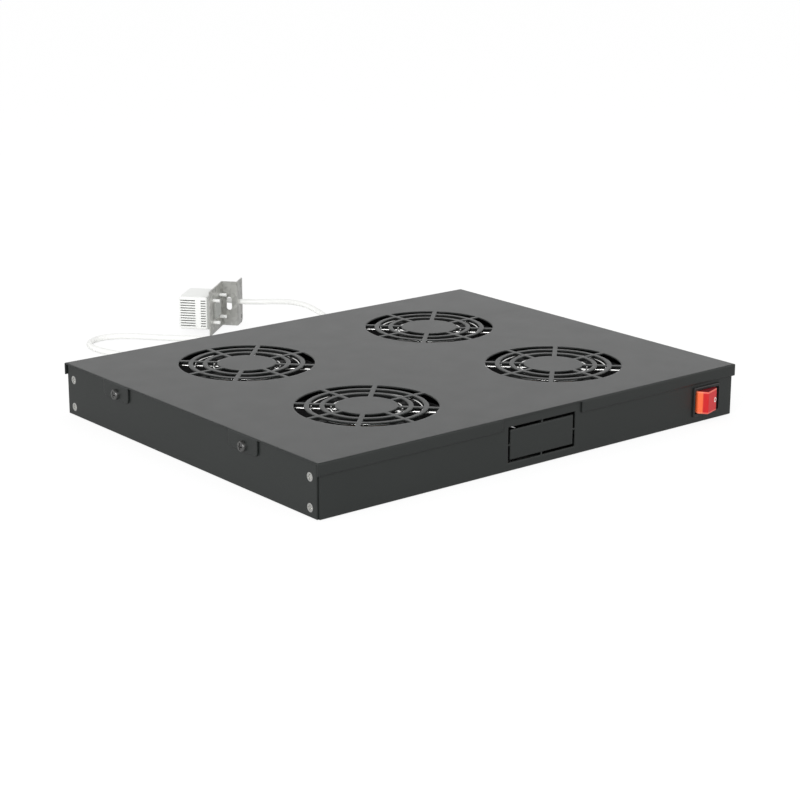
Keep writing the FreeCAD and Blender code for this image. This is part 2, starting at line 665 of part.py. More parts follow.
def countersunk_screw(name, place, turn, reach):
    """A flush countersunk screw: place is the middle of its head's face."""
    head = primitive("Cone", f"{name}_head", *place, turn=turn,
                     Radius1="side_screw_head-2*head_gap", Radius2="screw_shank",
                     Height="pan_sheet-head_gap")
    shank = primitive("Cylinder", f"{name}_shank", *place, turn=turn, Radius="screw_shank",
                      Height=reach)
    return fused(name, [head, shank])


def make_side_screws():
    screws = []
    for way, turn in ((-1, ALONG_X), (1, AGAINST_X)):
        for number, (place, level) in enumerate(SIDE_HOLE_PLACES):
            name = f"side_screw_{'left' if way < 0 else 'right'}_{number}"
            spot = (f"({way})*({SIDE_FACE}-head_gap)", place, level)
            screws.append(countersunk_screw(name, spot, turn, "side_screw_reach"))
    return keep(group("side_screws", screws))


def make_mount_screws():
    screws = []
    for number, (across, along) in enumerate(FAN_PLACES, start=1):
        for x in TWO_WAYS:
            for y in TWO_WAYS:
                spot = (f"{across}+({x})*fan_hole_pitch/2", f"{along}+({y})*fan_hole_pitch/2",
                        "head_gap")
                name = f"mount_screw_{number}_{x + 1}{y + 1}"
                screws.append(countersunk_screw(name, spot, None, "mount_screw_reach"))
    return keep(group("fan_mount_screws", screws))


def make_guard_screws():
    screws = []
    for number, (across, along) in enumerate(FAN_PLACES, start=1):
        for x in TWO_WAYS:
            for y in TWO_WAYS:
                name = f"guard_screw_{number}_{x + 1}{y + 1}"
                place = (f"{across}+({x})*fan_hole_pitch/2", f"{along}+({y})*fan_hole_pitch/2")
                head = primitive("Cone", f"{name}_head", *place, GUARD_TOP,
                                 Radius1="guard_screw_head", Radius2="guard_screw_crown",
                                 Height="guard_screw_rise")
                shank = primitive("Cylinder", f"{name}_shank", *place,
                                  f"{GUARD_TOP}-guard_screw_reach",
                                  Radius="screw_shank", Height="guard_screw_reach")
                screws.append(fused(name, [head, shank]))
    return keep(group("guard_screws", screws))


def make_lid_screws():
    screws = []
    for way, outwards, inwards in ((-1, AGAINST_X, ALONG_X), (1, ALONG_X, AGAINST_X)):
        for place in TAB_PLACES:
            name = f"lid_screw_{'left' if way < 0 else 'right'}_{place}"
            spot = (f"({way})*tray_width/2", place, TAB_SCREW_LEVEL)
            head = primitive("Cone", f"{name}_head", *spot, turn=outwards,
                             Radius1="lid_screw_head", Radius2="lid_screw_crown",
                             Height="lid_screw_rise")
            shank = primitive("Cylinder", f"{name}_shank", *spot, turn=inwards,
                              Radius="screw_shank", Height="side_screw_reach")
            screws.append(fused(name, [head, shank]))
    return keep(group("lid_screws", screws))


# ---------------------------------------------------------------- fans


def place_fan(body, number):
    across, along = FAN_PLACES[number - 1]
    bind(body, Placement__Base__x=across, Placement__Base__y=along, Placement__Base__z="pan_sheet")


def make_fan_frame(number):
    """A square frame with a round barrel, and the motor's carrier on four arms at the outlet."""
    name = f"fan_{number}_frame"
    body = new_body(name)
    half = "fan_size/2"
    block = new_sketch(body, f"{name}_block", "XY_Plane")
    rectangle(block, f"-{half}", half, f"-{half}", half)
    last = pad(block, "fan_height")
    side = worked_out(half)
    upright = round_edges(last, "fan_corner",
                          lambda end: abs(abs(end.x) - side) + abs(abs(end.y) - side) < 0.01)
    body.Tip = upright
    waist = new_sketch(body, f"{name}_waist", "XY_Plane", lift="fan_flange")
    rectangle(waist, "-fan_size", "fan_size", "-fan_size", "fan_size")
    circle(waist, "fan_waist")
    pocket(waist, "fan_height-2*fan_flange", reverse=True)
    bore = new_sketch(body, f"{name}_bore", "XY_Plane", lift="fan_height")
    circle(bore, "fan_bore")
    pocket(bore)
    arms = new_sketch(body, f"{name}_arms", "XY_Plane", lift="fan_height-strut_depth")
    reach, half_arm = "(fan_bore+strut_seat)", "strut_width/2"
    polygon(arms, [(f"-{reach}", f"-{half_arm}"), (f"-{half_arm}", f"-{half_arm}"),
                   (f"-{half_arm}", f"-{reach}"), (half_arm, f"-{reach}"),
                   (half_arm, f"-{half_arm}"), (reach, f"-{half_arm}"), (reach, half_arm),
                   (half_arm, half_arm), (half_arm, reach), (f"-{half_arm}", reach),
                   (f"-{half_arm}", half_arm), (f"-{reach}", half_arm)])
    pad(arms, "strut_depth")
    plate = new_sketch(body, f"{name}_carrier", "XY_Plane", lift="fan_height-motor_plate")
    circle(plate, "motor_radius")
    pad(plate, "motor_plate")
    tube = new_sketch(body, f"{name}_bearing_tube", "XY_Plane", lift="fan_height-motor_plate")
    circle(tube, "shaft_radius+shaft_play+tube_wall")
    pad(tube, "stator_height+tube_foot", reverse=True)
    hole = new_sketch(body, f"{name}_bearing", "XY_Plane",
                      lift="fan_height-motor_plate-stator_height-tube_foot")
    circle(hole, "shaft_radius+shaft_play")
    pocket(hole, "stator_height+tube_foot+bearing_relief", reverse=True)
    screws = new_sketch(body, f"{name}_screw_holes", "XY_Plane", lift="fan_height")
    for x in TWO_WAYS:
        for y in TWO_WAYS:
            circle(screws, "fan_hole", f"({x})*fan_hole_pitch/2", f"({y})*fan_hole_pitch/2")
    pocket(screws)
    place_fan(body, number)
    return keep(body)


def blade_section(drawing, chord, pitch, level):
    """A thin flat section turned to its pitch, about a point at the given height."""
    half, thick = f"({chord}/2)", "(blade_thickness/2)"
    points = []
    for x, y in ((1, 1), (-1, 1), (-1, -1), (1, -1)):
        across = f"({x})*{half}*cos({pitch})-({y})*{thick}*sin({pitch})"
        along = f"({x})*{half}*sin({pitch})+({y})*{thick}*cos({pitch})+{level}"
        points.append((across, along))
    polygon(drawing, points)


def make_fan_rotor(number):
    """The cup that turns round the stator, with its shaft and five blades."""
    name = f"fan_{number}_rotor"
    body = new_body(name)
    top = "(fan_height-strut_depth-hub_gap)"
    foot = f"({top}-hub_height)"
    cup = new_sketch(body, f"{name}_cup", "XZ_Plane")
    polygon(cup, [("0", foot), ("hub_radius-hub_bevel", foot), ("hub_radius", f"{foot}+hub_bevel"),
                  ("hub_radius", top), ("hub_radius-hub_wall", top),
                  ("hub_radius-hub_wall", f"{foot}+hub_wall"), ("shaft_radius", f"{foot}+hub_wall"),
                  ("shaft_radius", "fan_height-motor_plate"), ("0", "fan_height-motor_plate")])
    revolution(cup)
    middle = f"({foot}+hub_height/2-blade_drop)"
    root = new_sketch(body, f"{name}_blade_root", "YZ_Plane", lift="hub_radius-hub_wall+blade_seat")
    blade_section(root, "blade_root_chord", "blade_root_pitch", middle)
    tip = new_sketch(body, f"{name}_blade_tip", "YZ_Plane", lift="fan_bore+blade_spare")
    blade_section(tip, "blade_tip_chord", "blade_tip_pitch", middle)
    blade = body.newObject("PartDesign::AdditiveLoft", f"{name}_blade")
    blade.Profile = root
    blade.Sections = [tip]
    blade.Ruled = True
    hub = new_sketch(body, f"{name}_hub_axis", "XY_Plane", lift="fan_height")
    circle(hub, "blade_sweep")
    circle(hub, "fan_size")
    repeat_round(blade, hub, BLADES)
    pocket(hub)
    place_fan(body, number)
    return keep(body)


def make_fan_stator(number):
    """The winding pack pressed on the bearing tube, inside the rotor cup."""
    name = f"fan_{number}_stator"
    body = new_body(name)
    top = "(fan_height-strut_depth-shaft_play)"
    foot = f"({top}-stator_height)"
    bore = "shaft_radius+shaft_play+tube_wall+shaft_play"
    pack = new_sketch(body, f"{name}_pack", "XZ_Plane")
    inner, low, high = "stator_radius-winding_inset", f"{foot}+winding_head", f"{top}-winding_head"
    polygon(pack, [(bore, foot), (inner, foot), (inner, low), ("stator_radius", low),
                   ("stator_radius", high), (inner, high), (inner, top), (bore, top)])
    revolution(pack)
    place_fan(body, number)
    return keep(body)


def make_fan_guard(number):
    """A wire finger guard: two crossing wires with an eyelet at each end and three rings."""
    name = f"fan_{number}_guard"
    body = new_body(name)
    half = "fan_hole_pitch/2"
    legs = new_sketch(body, f"{name}_legs", "XY_Plane")
    reach = f"({half}-guard_eye_reach)"
    side = "(wire_gauge/2/sqrt(2))"
    polygon(legs, [(f"-{reach}-{side}", f"-{reach}+{side}"), (f"-{reach}+{side}", f"-{reach}-{side}"),
                   (f"{reach}+{side}", f"{reach}-{side}"), (f"{reach}-{side}", f"{reach}+{side}")])
    pad(legs, "wire_gauge")
    cross = new_sketch(body, f"{name}_cross", "XY_Plane")
    polygon(cross, [(f"-{reach}-{side}", f"{reach}-{side}"), (f"{reach}-{side}", f"-{reach}-{side}"),
                    (f"{reach}+{side}", f"-{reach}+{side}"), (f"-{reach}+{side}", f"{reach}+{side}")])
    pad(cross, "wire_gauge")
    eyes = new_sketch(body, f"{name}_eyes", "XY_Plane")
    for x in TWO_WAYS:
        for y in TWO_WAYS:
            for radius in ("guard_eye", "fan_hole"):
                circle(eyes, radius, f"({x})*{half}", f"({y})*{half}")
    pad(eyes, "wire_gauge")
    rings = new_sketch(body, f"{name}_rings", "XZ_Plane")
    for mean in ("guard_small", "guard_middle", "guard_large"):
        rectangle(rings, f"{mean}-wire_gauge/2", f"{mean}+wire_gauge/2", "wire_gauge-guard_weld",
                  "2*wire_gauge-guard_weld")
    revolution(rings)
    across, along = FAN_PLACES[number - 1]
    bind(body, Placement__Base__x=across, Placement__Base__y=along, Placement__Base__z=FAN_TOP)
    return keep(body)


# ---------------------------------------------------------------- rocker switch

ROCKER_FRONT = "(rocker_crown+rocker_length/2*tan(rocker_tilt))"
SWING = f"sqrt((rocker_length/2)^2+{ROCKER_FRONT}^2)"


def make_switch_housing():
    body = new_body("switch_housing")
    front = new_sketch(body, "switch_bezel", "XZ_Plane", lift=WALL_FACE)
    rectangle(front, "switch_place-bezel_width/2", "switch_place+bezel_width/2",
              "switch_level-bezel_height/2", "switch_level+bezel_height/2")
    last = pad(front, "bezel_rise")
    face = worked_out(f"{WALL_FACE}+bezel_rise")
    last = round_edges(last, "bezel_edge", lambda end: abs(end.y + face) < 0.01)
    back = new_sketch(body, "switch_body", "XZ_Plane", lift=WALL_FACE)
    rectangle(back, "switch_place-switch_body_width/2", "switch_place+switch_body_width/2",
              "switch_level-switch_body_height/2", "switch_level+switch_body_height/2")
    pad(back, "switch_body_depth", reverse=True)
    mouth = new_sketch(body, "switch_mouth", "XZ_Plane", lift=f"{WALL_FACE}+bezel_rise")
    half_long = f"({SWING}+rocker_play)"
    half_tall = "(rocker_height/2+rocker_play)"
    rectangle(mouth, f"switch_place-{half_long}", f"switch_place+{half_long}",
              f"switch_level-{half_tall}", f"switch_level+{half_tall}")
    pocket(mouth, "bezel_rise")
    well = new_sketch(body, "switch_well", "XZ_Plane", lift=WALL_FACE)
    half_well = "(switch_body_width/2-well_wall)"
    rectangle(well, f"switch_place-{half_well}", f"switch_place+{half_well}",
              f"switch_level-{half_tall}", f"switch_level+{half_tall}")
    pocket(well, "rocker_well")
    pivot = new_sketch(body, "switch_pivot_holes", "XY_Plane", "switch_place",
                       f"-{WALL_FACE}+pivot_back", "switch_level")
    circle(pivot, "pivot_radius+shaft_play")
    pocket(pivot, "switch_body_height", both_ways=True)
    return keep(body)


def make_switch_rocker():
    """A rocker with two faces that meet in a shallow valley, tilted so that its right end,
    the one marked off, is pressed in."""
    body = new_body("switch_rocker")
    half, rise = "rocker_length/2", ROCKER_FRONT
    plan = new_sketch(body, "rocker_plan", "XY_Plane", lift="-rocker_height/2")
    polygon(plan, [(f"-{half}", f"-{rise}"), ("0", "-rocker_crown"), (half, f"-{rise}"),
                   (half, "-rocker_heel"), ("rocker_back_length/2", "rocker_back"),
                   ("-rocker_back_length/2", "rocker_back"), (f"-{half}", "-rocker_heel")])
    pad(plan, "rocker_height")
    pins = new_sketch(body, "rocker_pins", "XY_Plane")
    circle(pins, "pivot_radius")
    pad(pins, "rocker_height+2*rocker_play+2*pivot_seat", both_ways=True)
    bind(body, Placement__Base__x="switch_place",
         Placement__Base__y=f"-{WALL_FACE}+pivot_back", Placement__Base__z="switch_level",
         Placement__Rotation__Angle="rocker_tilt")
    return keep(body)


def make_switch_terminals():
    """Four push-on blades behind the switch."""
    blades = []
    for across in TWO_WAYS:
        for level in TWO_WAYS:
            name = f"switch_terminal_{across + 1}{level + 1}"
            place = (f"switch_place+({across})*terminal_spread/2-terminal_sheet/2",
                     f"-{WALL_FACE}+switch_body_depth",
                     f"switch_level+({level})*terminal_rise/2-terminal_width/2")
            blades.append(primitive("Box", name, *place, Length="terminal_sheet",
                                    Width="terminal_reach", Height="terminal_width"))
    return keep(group("switch_terminals", blades))


def make_switch_lamp():
    """The neon lamp that lights the rocker, on the floor of the switch's well."""
    lamp = primitive("Cylinder", "switch_lamp", "switch_place-lamp_length/2",
                     f"-{WALL_FACE}+rocker_well-lamp_radius-lamp_gap", "switch_level", turn=ALONG_X,
                     Radius="lamp_radius", Height="lamp_length")
    lamp.Label = "switch_lamp"
    return keep(lamp)


# ---------------------------------------------------------------- wiring pieces


def make_bushing(name, place):
    """A moulded strain relief: nut inside the wall, neck in the hole, flange and a bend relief
    that tapers towards its tip. It is turned about Z and then laid along +Y."""
    body = new_body(name)
    drawing = new_sketch(body, f"{name}_outline", "XZ_Plane")
    back = "-pan_sheet-bushing_nut"
    polygon(drawing, [("0", back), ("bushing_nut_radius", back), ("bushing_nut_radius", "-pan_sheet"),
                      ("bushing_neck", "-pan_sheet"), ("bushing_neck", "0"), ("bushing_radius", "0"),
                      ("bushing_radius", "bushing_flange"), ("bushing_neck", "bushing_shoulder"),
                      ("bushing_tip", "bushing_reach"), ("0", "bushing_reach")])
    revolution(drawing)
    body.Placement = Placement(Vector(0, 0, 0), Rotation(Vector(1, 0, 0), -90))
    bind(body, Placement__Base__x=place, Placement__Base__y=WALL_FACE,
         Placement__Base__z="bushing_level")
    return keep(body)


def make_terminal_block():
    """Screw terminal strip on the pan, between the rear fans and the rear wall."""
    body = new_body("terminal_block")
    half, span = f"({TERMINALS}*block_pitch/2)", f"({TERMINALS - 1}*block_pitch)"
    base = new_sketch(body, "block_base", "XY_Plane", "block_place", "block_along", "pan_sheet")
    rectangle(base, f"-{half}", half, "-block_depth/2", "block_depth/2")
    pad(base, "block_step")
    crest = new_sketch(body, "block_crest", "XY_Plane", "block_place", "block_along",
                       "pan_sheet+block_step")
    rectangle(crest, f"-{half}", half, "-block_depth/4", "block_depth/4")
    pad(crest, "block_height-block_step")
    first = new_sketch(body, "block_screw_hole", "XY_Plane", f"block_place-{span}/2",
                       "block_along", "pan_sheet+block_height")
    circle(first, "block_hole")
    cut = pocket(first, "block_screw_depth")
    repeat_along(cut, first, "H_Axis", span, TERMINALS)
    return keep(body)


def make_terminal_screws():
    screws = []
    for number in range(TERMINALS):
        screws.append(primitive("Cylinder", f"terminal_screw_{number}",
                                f"block_place+({number}-{TERMINALS - 1}/2)*block_pitch", "block_along",
                                "pan_sheet+block_height-block_screw_depth", Radius="screw_shank",
                                Height="block_screw_length"))
    return keep(group("terminal_screws", screws))


def make_earth_stud():
    """The earth stud through the pan with its nut."""
    stud = primitive("Cylinder", "earth_pin", "earth_place", "earth_along", "head_gap",
                     Radius="screw_shank", Height="earth_reach")
    nut = primitive("Prism", "earth_nut", "earth_place", "earth_along", "pan_sheet",
                    Circumradius="earth_nut", Height="earth_nut_height")
    nut.Polygon = 6
    joined = fused("earth_stud", [stud, nut])
    joined.Label = "earth_stud"
    return keep(joined)


def bent_tube(name, points, diameter):
    """A tube along straight runs joined by tangent arcs. Each arc is as large as its two runs
    allow: a fixed share of the shorter run over the tangent of half the turn."""
    stops = [Vector(*point) for point in points]
    edges, radii, here = [], [], stops[0]
    for before, corner, after in zip(stops, stops[1:], stops[2:]):
        arriving, leaving = corner - before, after - corner
        turn = arriving.getAngle(leaving)
        back = ARC_SHARE * min(arriving.Length, leaving.Length)
        radii.append(back / math.tan(turn / 2))
        arriving.normalize()
        leaving.normalize()
        start, end = corner - arriving * back, corner + leaving * back
        bisector = (leaving - arriving).normalize()
        sink = radii[-1] / math.cos(turn / 2) - radii[-1]
        edges.append(Part.LineSegment(here, start).toShape())
        edges.append(Part.Arc(start, corner + bisector * sink, end).toShape())
        here = end
    edges.append(Part.LineSegment(here, stops[-1]).toShape())
    path = Part.Wire(edges)
    section = Part.Wire(Part.makeCircle(diameter / 2, stops[0], stops[1] - stops[0]))
    solid = path.makePipeShell([section], True, False)
    ideal = path.Length * math.pi * diameter ** 2 / 4
    print(f"{name}: length {path.Length:.1f}, radii {min(radii):.1f} to {max(radii):.1f},"
          f" volume over ideal {solid.Volume / ideal:.4f}")
    return solid


def keep_feature(name, shape):
    feature = doc.addObject("Part::Feature", name)
    feature.Shape = shape
    feature.Label = name
    return keep(feature)


# ---------------------------------------------------------------- thermostat

CASE_MIDDLE = "(case_rise+case_height/2)"
CASE_CENTRE = "(-case_setback-case_length/2)"


def place_thermostat(body, across="0", along="0", lift="0"):
    """Puts a piece into the bracket's frame, which has its origin at the foot of the fold. The
    plate runs along -X, the case stands on its +Y side and the flange is stepped towards -Y."""
    body.Placement = Placement(Vector(0, 0, 0), Rotation(Vector(0, 0, 1), size("bracket_turn")))
    turn = "bracket_turn"
    bind(body, Placement__Base__x=f"bracket_across+({across})*cos({turn})-({along})*sin({turn})",
         Placement__Base__y=f"bracket_along+({across})*sin({turn})+({along})*cos({turn})",
         Placement__Base__z=lift, Placement__Rotation__Angle=turn)


def make_thermostat_bracket():
    """A strip folded twice: plate, middle plate and a stepped flange with two fixing holes."""
    body = new_body("thermostat_bracket")
    plan = new_sketch(body, "bracket_plan", "XY_Plane")
    sheet_back, step = "-bracket_sheet", "-bracket_step"
    polygon(plan, [("-bracket_plate", sheet_back), (sheet_back, sheet_back), (sheet_back, step),
                   ("bracket_flange", step), ("bracket_flange", f"{step}+bracket_sheet"),
                   ("0", f"{step}+bracket_sheet"), ("0", "0"), ("-bracket_plate", "0")])
    strip = pad(plan, "bracket_height")
    left, low = -size("bracket_sheet"), -size("bracket_step")
    last = round_edges(strip, "bracket_fold", lambda end: abs(end.x) + abs(end.y) < 0.01
                       or abs(end.x - left) + abs(end.y - low) < 0.01)
    far = size("bracket_flange")
    corner = body.newObject("PartDesign::Chamfer", "bracket_corner_bevel")
    corner.Base = (last, edges_where(last, lambda end: abs(end.x - far) + abs(end.z) < 0.01))
    bind(corner, Size="bracket_corner")
    body.Tip = corner
    plate = new_sketch(body, "bracket_plate_cuts", "XZ_Plane")
    half_long, half_tall = "(boss_length/2+screw_play)", "(boss_height/2+screw_play)"
    rectangle(plate, f"-peg_place-{half_long}", f"-peg_place+{half_long}",
              f"{CASE_MIDDLE}-{half_tall}", f"{CASE_MIDDLE}+{half_tall}")
    for x in TWO_WAYS:
        for y in TWO_WAYS:
            circle(plate, "peg_radius+screw_play", f"-peg_place+({x})*peg_across/2",
                   f"{CASE_MIDDLE}+({y})*peg_rise/2")
    pocket(plate, "bracket_sheet", reverse=True)
    middle = new_sketch(body, "bracket_keyhole", "YZ_Plane")
    obround(middle, "-keyhole_place", CASE_MIDDLE, "keyhole_reach", "keyhole_radius")
    pocket(middle, "bracket_sheet")
    flange = new_sketch(body, "bracket_flange_holes", "XZ_Plane", lift="bracket_step")
    for way in TWO_WAYS:
        circle(flange, "bracket_hole", "bracket_hole_place",
               f"{CASE_MIDDLE}+({way})*bracket_hole_rise/2")
    circle(flange, "sensor_lead_diameter/2+grommet_play", "grommet_place", CASE_MIDDLE)
    pocket(flange, "bracket_sheet")
    place_thermostat(body)
    return keep(body)


def make_thermostat_base():
    """The plate behind the case, with a boss that stands through the bracket's window."""
    body = new_body("thermostat_base")
    plate = new_sketch(body, "base_plate", "XZ_Plane")
    half_long, half_tall = "(case_length/2-base_margin)", "(case_height/2-base_margin)"
    rectangle(plate, f"{CASE_CENTRE}-{half_long}", f"{CASE_CENTRE}+{half_long}",
              f"{CASE_MIDDLE}-{half_tall}", f"{CASE_MIDDLE}+{half_tall}")
    pad(plate, "base_sheet", reverse=True)
    boss = new_sketch(body, "base_boss", "XZ_Plane")
    rectangle(boss, "-peg_place-boss_length/2", "-peg_place+boss_length/2",
              f"{CASE_MIDDLE}-boss_height/2", f"{CASE_MIDDLE}+boss_height/2")
    pad(boss, "bracket_sheet+base_boss")
    place_thermostat(body)
    return keep(body)


def make_thermostat_pegs():
    """Four pegs that hold the base to the bracket."""
    pegs = []
    turn = "bracket_turn"
    for x in TWO_WAYS:
        for y in TWO_WAYS:
            along = f"(-peg_place+({x})*peg_across/2)"
            peg = primitive("Cylinder", f"thermostat_peg_{x + 1}{y + 1}",
                            f"bracket_across+{along}*cos({turn})",
                            f"bracket_along+{along}*sin({turn})",
                            f"{CASE_MIDDLE}+({y})*peg_rise/2",
                            turn=(Vector(math.cos(math.radians(size(turn))),
                                         math.sin(math.radians(size(turn))), 0), 90),
                            Radius="peg_radius", Height="bracket_sheet+peg_reach")
            pegs.append(peg)
    return keep(group("thermostat_pegs", pegs))


def make_thermostat_case():
    """A moulded cover, open towards its base, with vent slots in both side walls."""
    body = new_body("thermostat_case")
    half_long, half_tall = "(case_length/2)", "(case_height/2)"
    outline = new_sketch(body, "case_outline", "XZ_Plane", lift="-base_sheet")
    rectangle(outline, f"{CASE_CENTRE}-{half_long}", f"{CASE_CENTRE}+{half_long}",
              f"{CASE_MIDDLE}-{half_tall}", f"{CASE_MIDDLE}+{half_tall}")
    last = pad(outline, "case_depth-base_sheet", reverse=True)
    left = worked_out(f"{CASE_CENTRE}-{half_long}")
    right = worked_out(f"{CASE_CENTRE}+{half_long}")
    low, high = size("case_rise"), worked_out("case_rise+case_height")
    front = size("case_depth")
    last = round_edges(last, "case_edge",
                       lambda end: (abs(end.x - left) < 0.01 or abs(end.x - right) < 0.01)
                       and (abs(end.z - low) < 0.01 or abs(end.z - high) < 0.01))
    hollow = new_sketch(body, "case_hollow", "XZ_Plane", lift="-base_sheet")
    rectangle(hollow, f"{CASE_CENTRE}-{half_long}+case_wall", f"{CASE_CENTRE}+{half_long}-case_wall",
              f"{CASE_MIDDLE}-{half_tall}+case_wall", f"{CASE_MIDDLE}+{half_tall}-case_wall")
    pocket(hollow, "case_depth-base_sheet-case_wall")
    vents = new_sketch(body, "case_vents", "YZ_Plane",
                       lift=f"{CASE_CENTRE}+{half_long}+case_wall")
    span = f"({CASE_VENTS - 1}*case_vent_pitch)"
    first = f"({CASE_MIDDLE}-{span}/2-case_vent/2)"
    front_end = "(case_depth-case_wall)"
    rear_end = "(base_sheet+case_wall)"
    rectangle(vents, f"{front_end}-case_vent_front", front_end, first, f"{first}+case_vent")
    rectangle(vents, rear_end, f"{rear_end}+case_vent_rear", first, f"{first}+case_vent")
    cut = pocket(vents, "case_length+2*case_wall")
    repeat_along(cut, vents, "V_Axis", span, CASE_VENTS)
    shaft = new_sketch(body, "case_shaft_hole", "XZ_Plane", lift="-case_depth")
    circle(shaft, "dial_shaft+shaft_play", CASE_CENTRE, CASE_MIDDLE)
    pocket(shaft, "case_wall", reverse=True)
    place_thermostat(body)
    return keep(body)


def make_thermostat_dial():
    """A domed dial with its shaft, turned about its own axis."""
    body = new_body("thermostat_dial")
    drawing = new_sketch(body, "dial_outline", "XY_Plane", CASE_CENTRE, "case_depth")
    polygon(drawing, [("0", "-dial_shaft_reach"), ("dial_shaft", "-dial_shaft_reach"),
                      ("dial_shaft", "dial_gap"), ("dial_radius", "dial_gap"),
                      ("dial_radius", "dial_side"), ("dial_radius-dial_bevel", "dial_slope"),
                      ("dial_flat", "dial_rise"), ("0", "dial_rise")])
    revolution(drawing)
    place_thermostat(body, lift=CASE_MIDDLE)
    return keep(body)


def make_thermostat_switch():
    """The switch block on the base that the dial's shaft turns in."""
    body = new_body("thermostat_switch")
    drawing = new_sketch(body, "switch_block", "XZ_Plane", lift="-base_sheet")
    half_long = "(case_length/2-case_wall-block_inset)"
    half_tall = "(case_height/2-case_wall-block_inset)"
    rectangle(drawing, f"{CASE_CENTRE}-{half_long}", f"{CASE_CENTRE}+{half_long}",
              f"{CASE_MIDDLE}-{half_tall}", f"{CASE_MIDDLE}+{half_tall}")
    pad(drawing, "case_depth-base_sheet-case_wall-block_inset/2", reverse=True)
    bore = new_sketch(body, "switch_block_bore", "XZ_Plane",
                      lift="-(case_depth-case_wall-block_inset/2)")
    circle(bore, "dial_shaft+shaft_play", CASE_CENTRE, CASE_MIDDLE)
    pocket(bore, "dial_shaft_reach", reverse=True)
    place_thermostat(body)
    return keep(body)


# ---------------------------------------------------------------- mains plug and leads


def place_plug(body):
    body.Placement = Placement(Vector(0, 0, 0), Rotation(Vector(0, 0, 1), size("plug_turn")))
    bind(body, Placement__Base__x="plug_across", Placement__Base__y="plug_along",
         Placement__Rotation__Angle="plug_turn")


def make_mains_plug():
    """An in-line appliance plug: bend relief, body and an open shroud round three pins. It is
    drawn along +X, starting where the lead enters."""
    body = new_body("mains_plug")
    level = "(plug_height/2+head_gap)"
    relief = new_sketch(body, "plug_relief_outline", "XZ_Plane", lift="0", along=level)
    polygon(relief, [("0", "0"), ("0", "bushing_tip"), ("plug_relief", "plug_relief_radius"),
                     ("plug_relief", "0")])
    revolution(relief, "H_Axis")
    end = "(plug_relief+plug_length)"
    plan = new_sketch(body, "plug_plan", "XY_Plane", lift="head_gap")
    wide = "plug_relief+plug_shoulder"
    polygon(plan, [("plug_relief", "-plug_neck/2"), (wide, "-plug_width/2"), (end, "-plug_width/2"),
                   (end, "plug_width/2"), (wide, "plug_width/2"), ("plug_relief", "plug_neck/2")])
    last = pad(plan, "plug_height")
    half, tail = worked_out("plug_width/2"), worked_out(wide) - 0.1
    last = round_edges(last, "plug_wall", lambda end: abs(abs(end.y) - half) < 0.01 and end.x > tail
                       and end.z > 1)
    mouth = new_sketch(body, "plug_shroud", "YZ_Plane", lift=end)
    half_wide, half_tall = "(plug_width/2-plug_wall)", "(plug_height/2-plug_wall)"
    rectangle(mouth, f"-{half_wide}", half_wide, f"{level}-{half_tall}", f"{level}+{half_tall}")
    pocket(mouth, "plug_mouth")
    place_plug(body)
    return keep(body)


def make_plug_pins():
    """Three flat pins inside the shroud, the middle one off the others' line."""
    body = new_body("mains_plug_pins")
    body.AllowCompound = True
    drawing = new_sketch(body, "plug_pin_row", "YZ_Plane", lift="plug_relief+plug_length-plug_mouth")
    level = "(plug_height/2+head_gap)"
    for across, rise in (("-pin_pitch", "-pin_drop/2"), ("0", "pin_drop/2"), ("pin_pitch", "-pin_drop/2")):
        rectangle(drawing, f"{across}-pin_width/2", f"{across}+pin_width/2",
                  f"{level}+{rise}-pin_height/2", f"{level}+{rise}+pin_height/2")
    pad(drawing, "pin_reach")
    place_plug(body)
    return keep(body)


def make_coil():
    """The spare mains lead, wound in a flat ring behind the tray."""
    body = new_body("mains_lead_coil")
    drawing = new_sketch(body, "coil_section", "XZ_Plane")
    half = "(coil_rows*lead_diameter/2)"
    rectangle(drawing, f"coil_radius-{half}", f"coil_radius+{half}", "head_gap",
              "coil_layers*lead_diameter+head_gap")
    revolution(drawing)
    bind(body, Placement__Base__x="coil_across", Placement__Base__y="coil_along")
    return keep(body)


def make_leads():
    """The stretches of lead that lie free, along points chosen by hand."""
    tip = worked_out(f"{WALL_FACE}+bushing_reach")
    start, level = size("mains_place"), size("bushing_level")
    mains = size("lead_diameter")
    rest = mains / 2 + 2 * size("head_gap")
    turn_top = size("coil_along") + size("coil_radius") + mains
    centre = size("coil_across")
    free = [(start, tip, level), (start, 219, 13.8), (1, 235, 8.4), (-12, 250, rest),
            (-31, 258, rest), (-52, 262.5, rest), (-72, 274, rest), (-88, 293, rest),
            (-99, 316, rest), (-104.5, 338, rest), (-98, 359, rest), (-79, 370, rest),
            (-57, 364, rest), (-39, 349, rest), (-22, 331, rest), (0, 311, rest),
            (18, 290, rest), (36, 271, rest), (centre - 10, turn_top, rest)]
    keep_feature("mains_lead", bent_tube("mains_lead", free, mains))
    high = size("head_gap") + 1.5 * mains
    slant = math.sqrt(0.5)
    turn_radius = size("coil_radius") + mains

    def leaving(ahead, aside, lift):
        """A point on the tangent that leaves the outer turn on its far right."""
        across = centre + slant * (turn_radius + ahead + aside)
        along = size("coil_along") + slant * (turn_radius - ahead + aside)
        return (across, along, lift)

    plug_level = size("plug_height") / 2 + size("head_gap")
    last = [leaving(9, 0, high), leaving(18, 0.6, high + 0.7),
            (size("plug_across"), size("plug_along"), plug_level)]
    keep_feature("mains_lead_tail", bent_tube("mains_lead_tail", last, mains))


def thermostat_point(across, along, lift):
    """A point given in the bracket's frame, in the tray's frame."""
    turn = math.radians(size("bracket_turn"))
    x = size("bracket_across") + across * math.cos(turn) - along * math.sin(turn)
    y = size("bracket_along") + across * math.sin(turn) + along * math.cos(turn)
    return (x, y, lift)


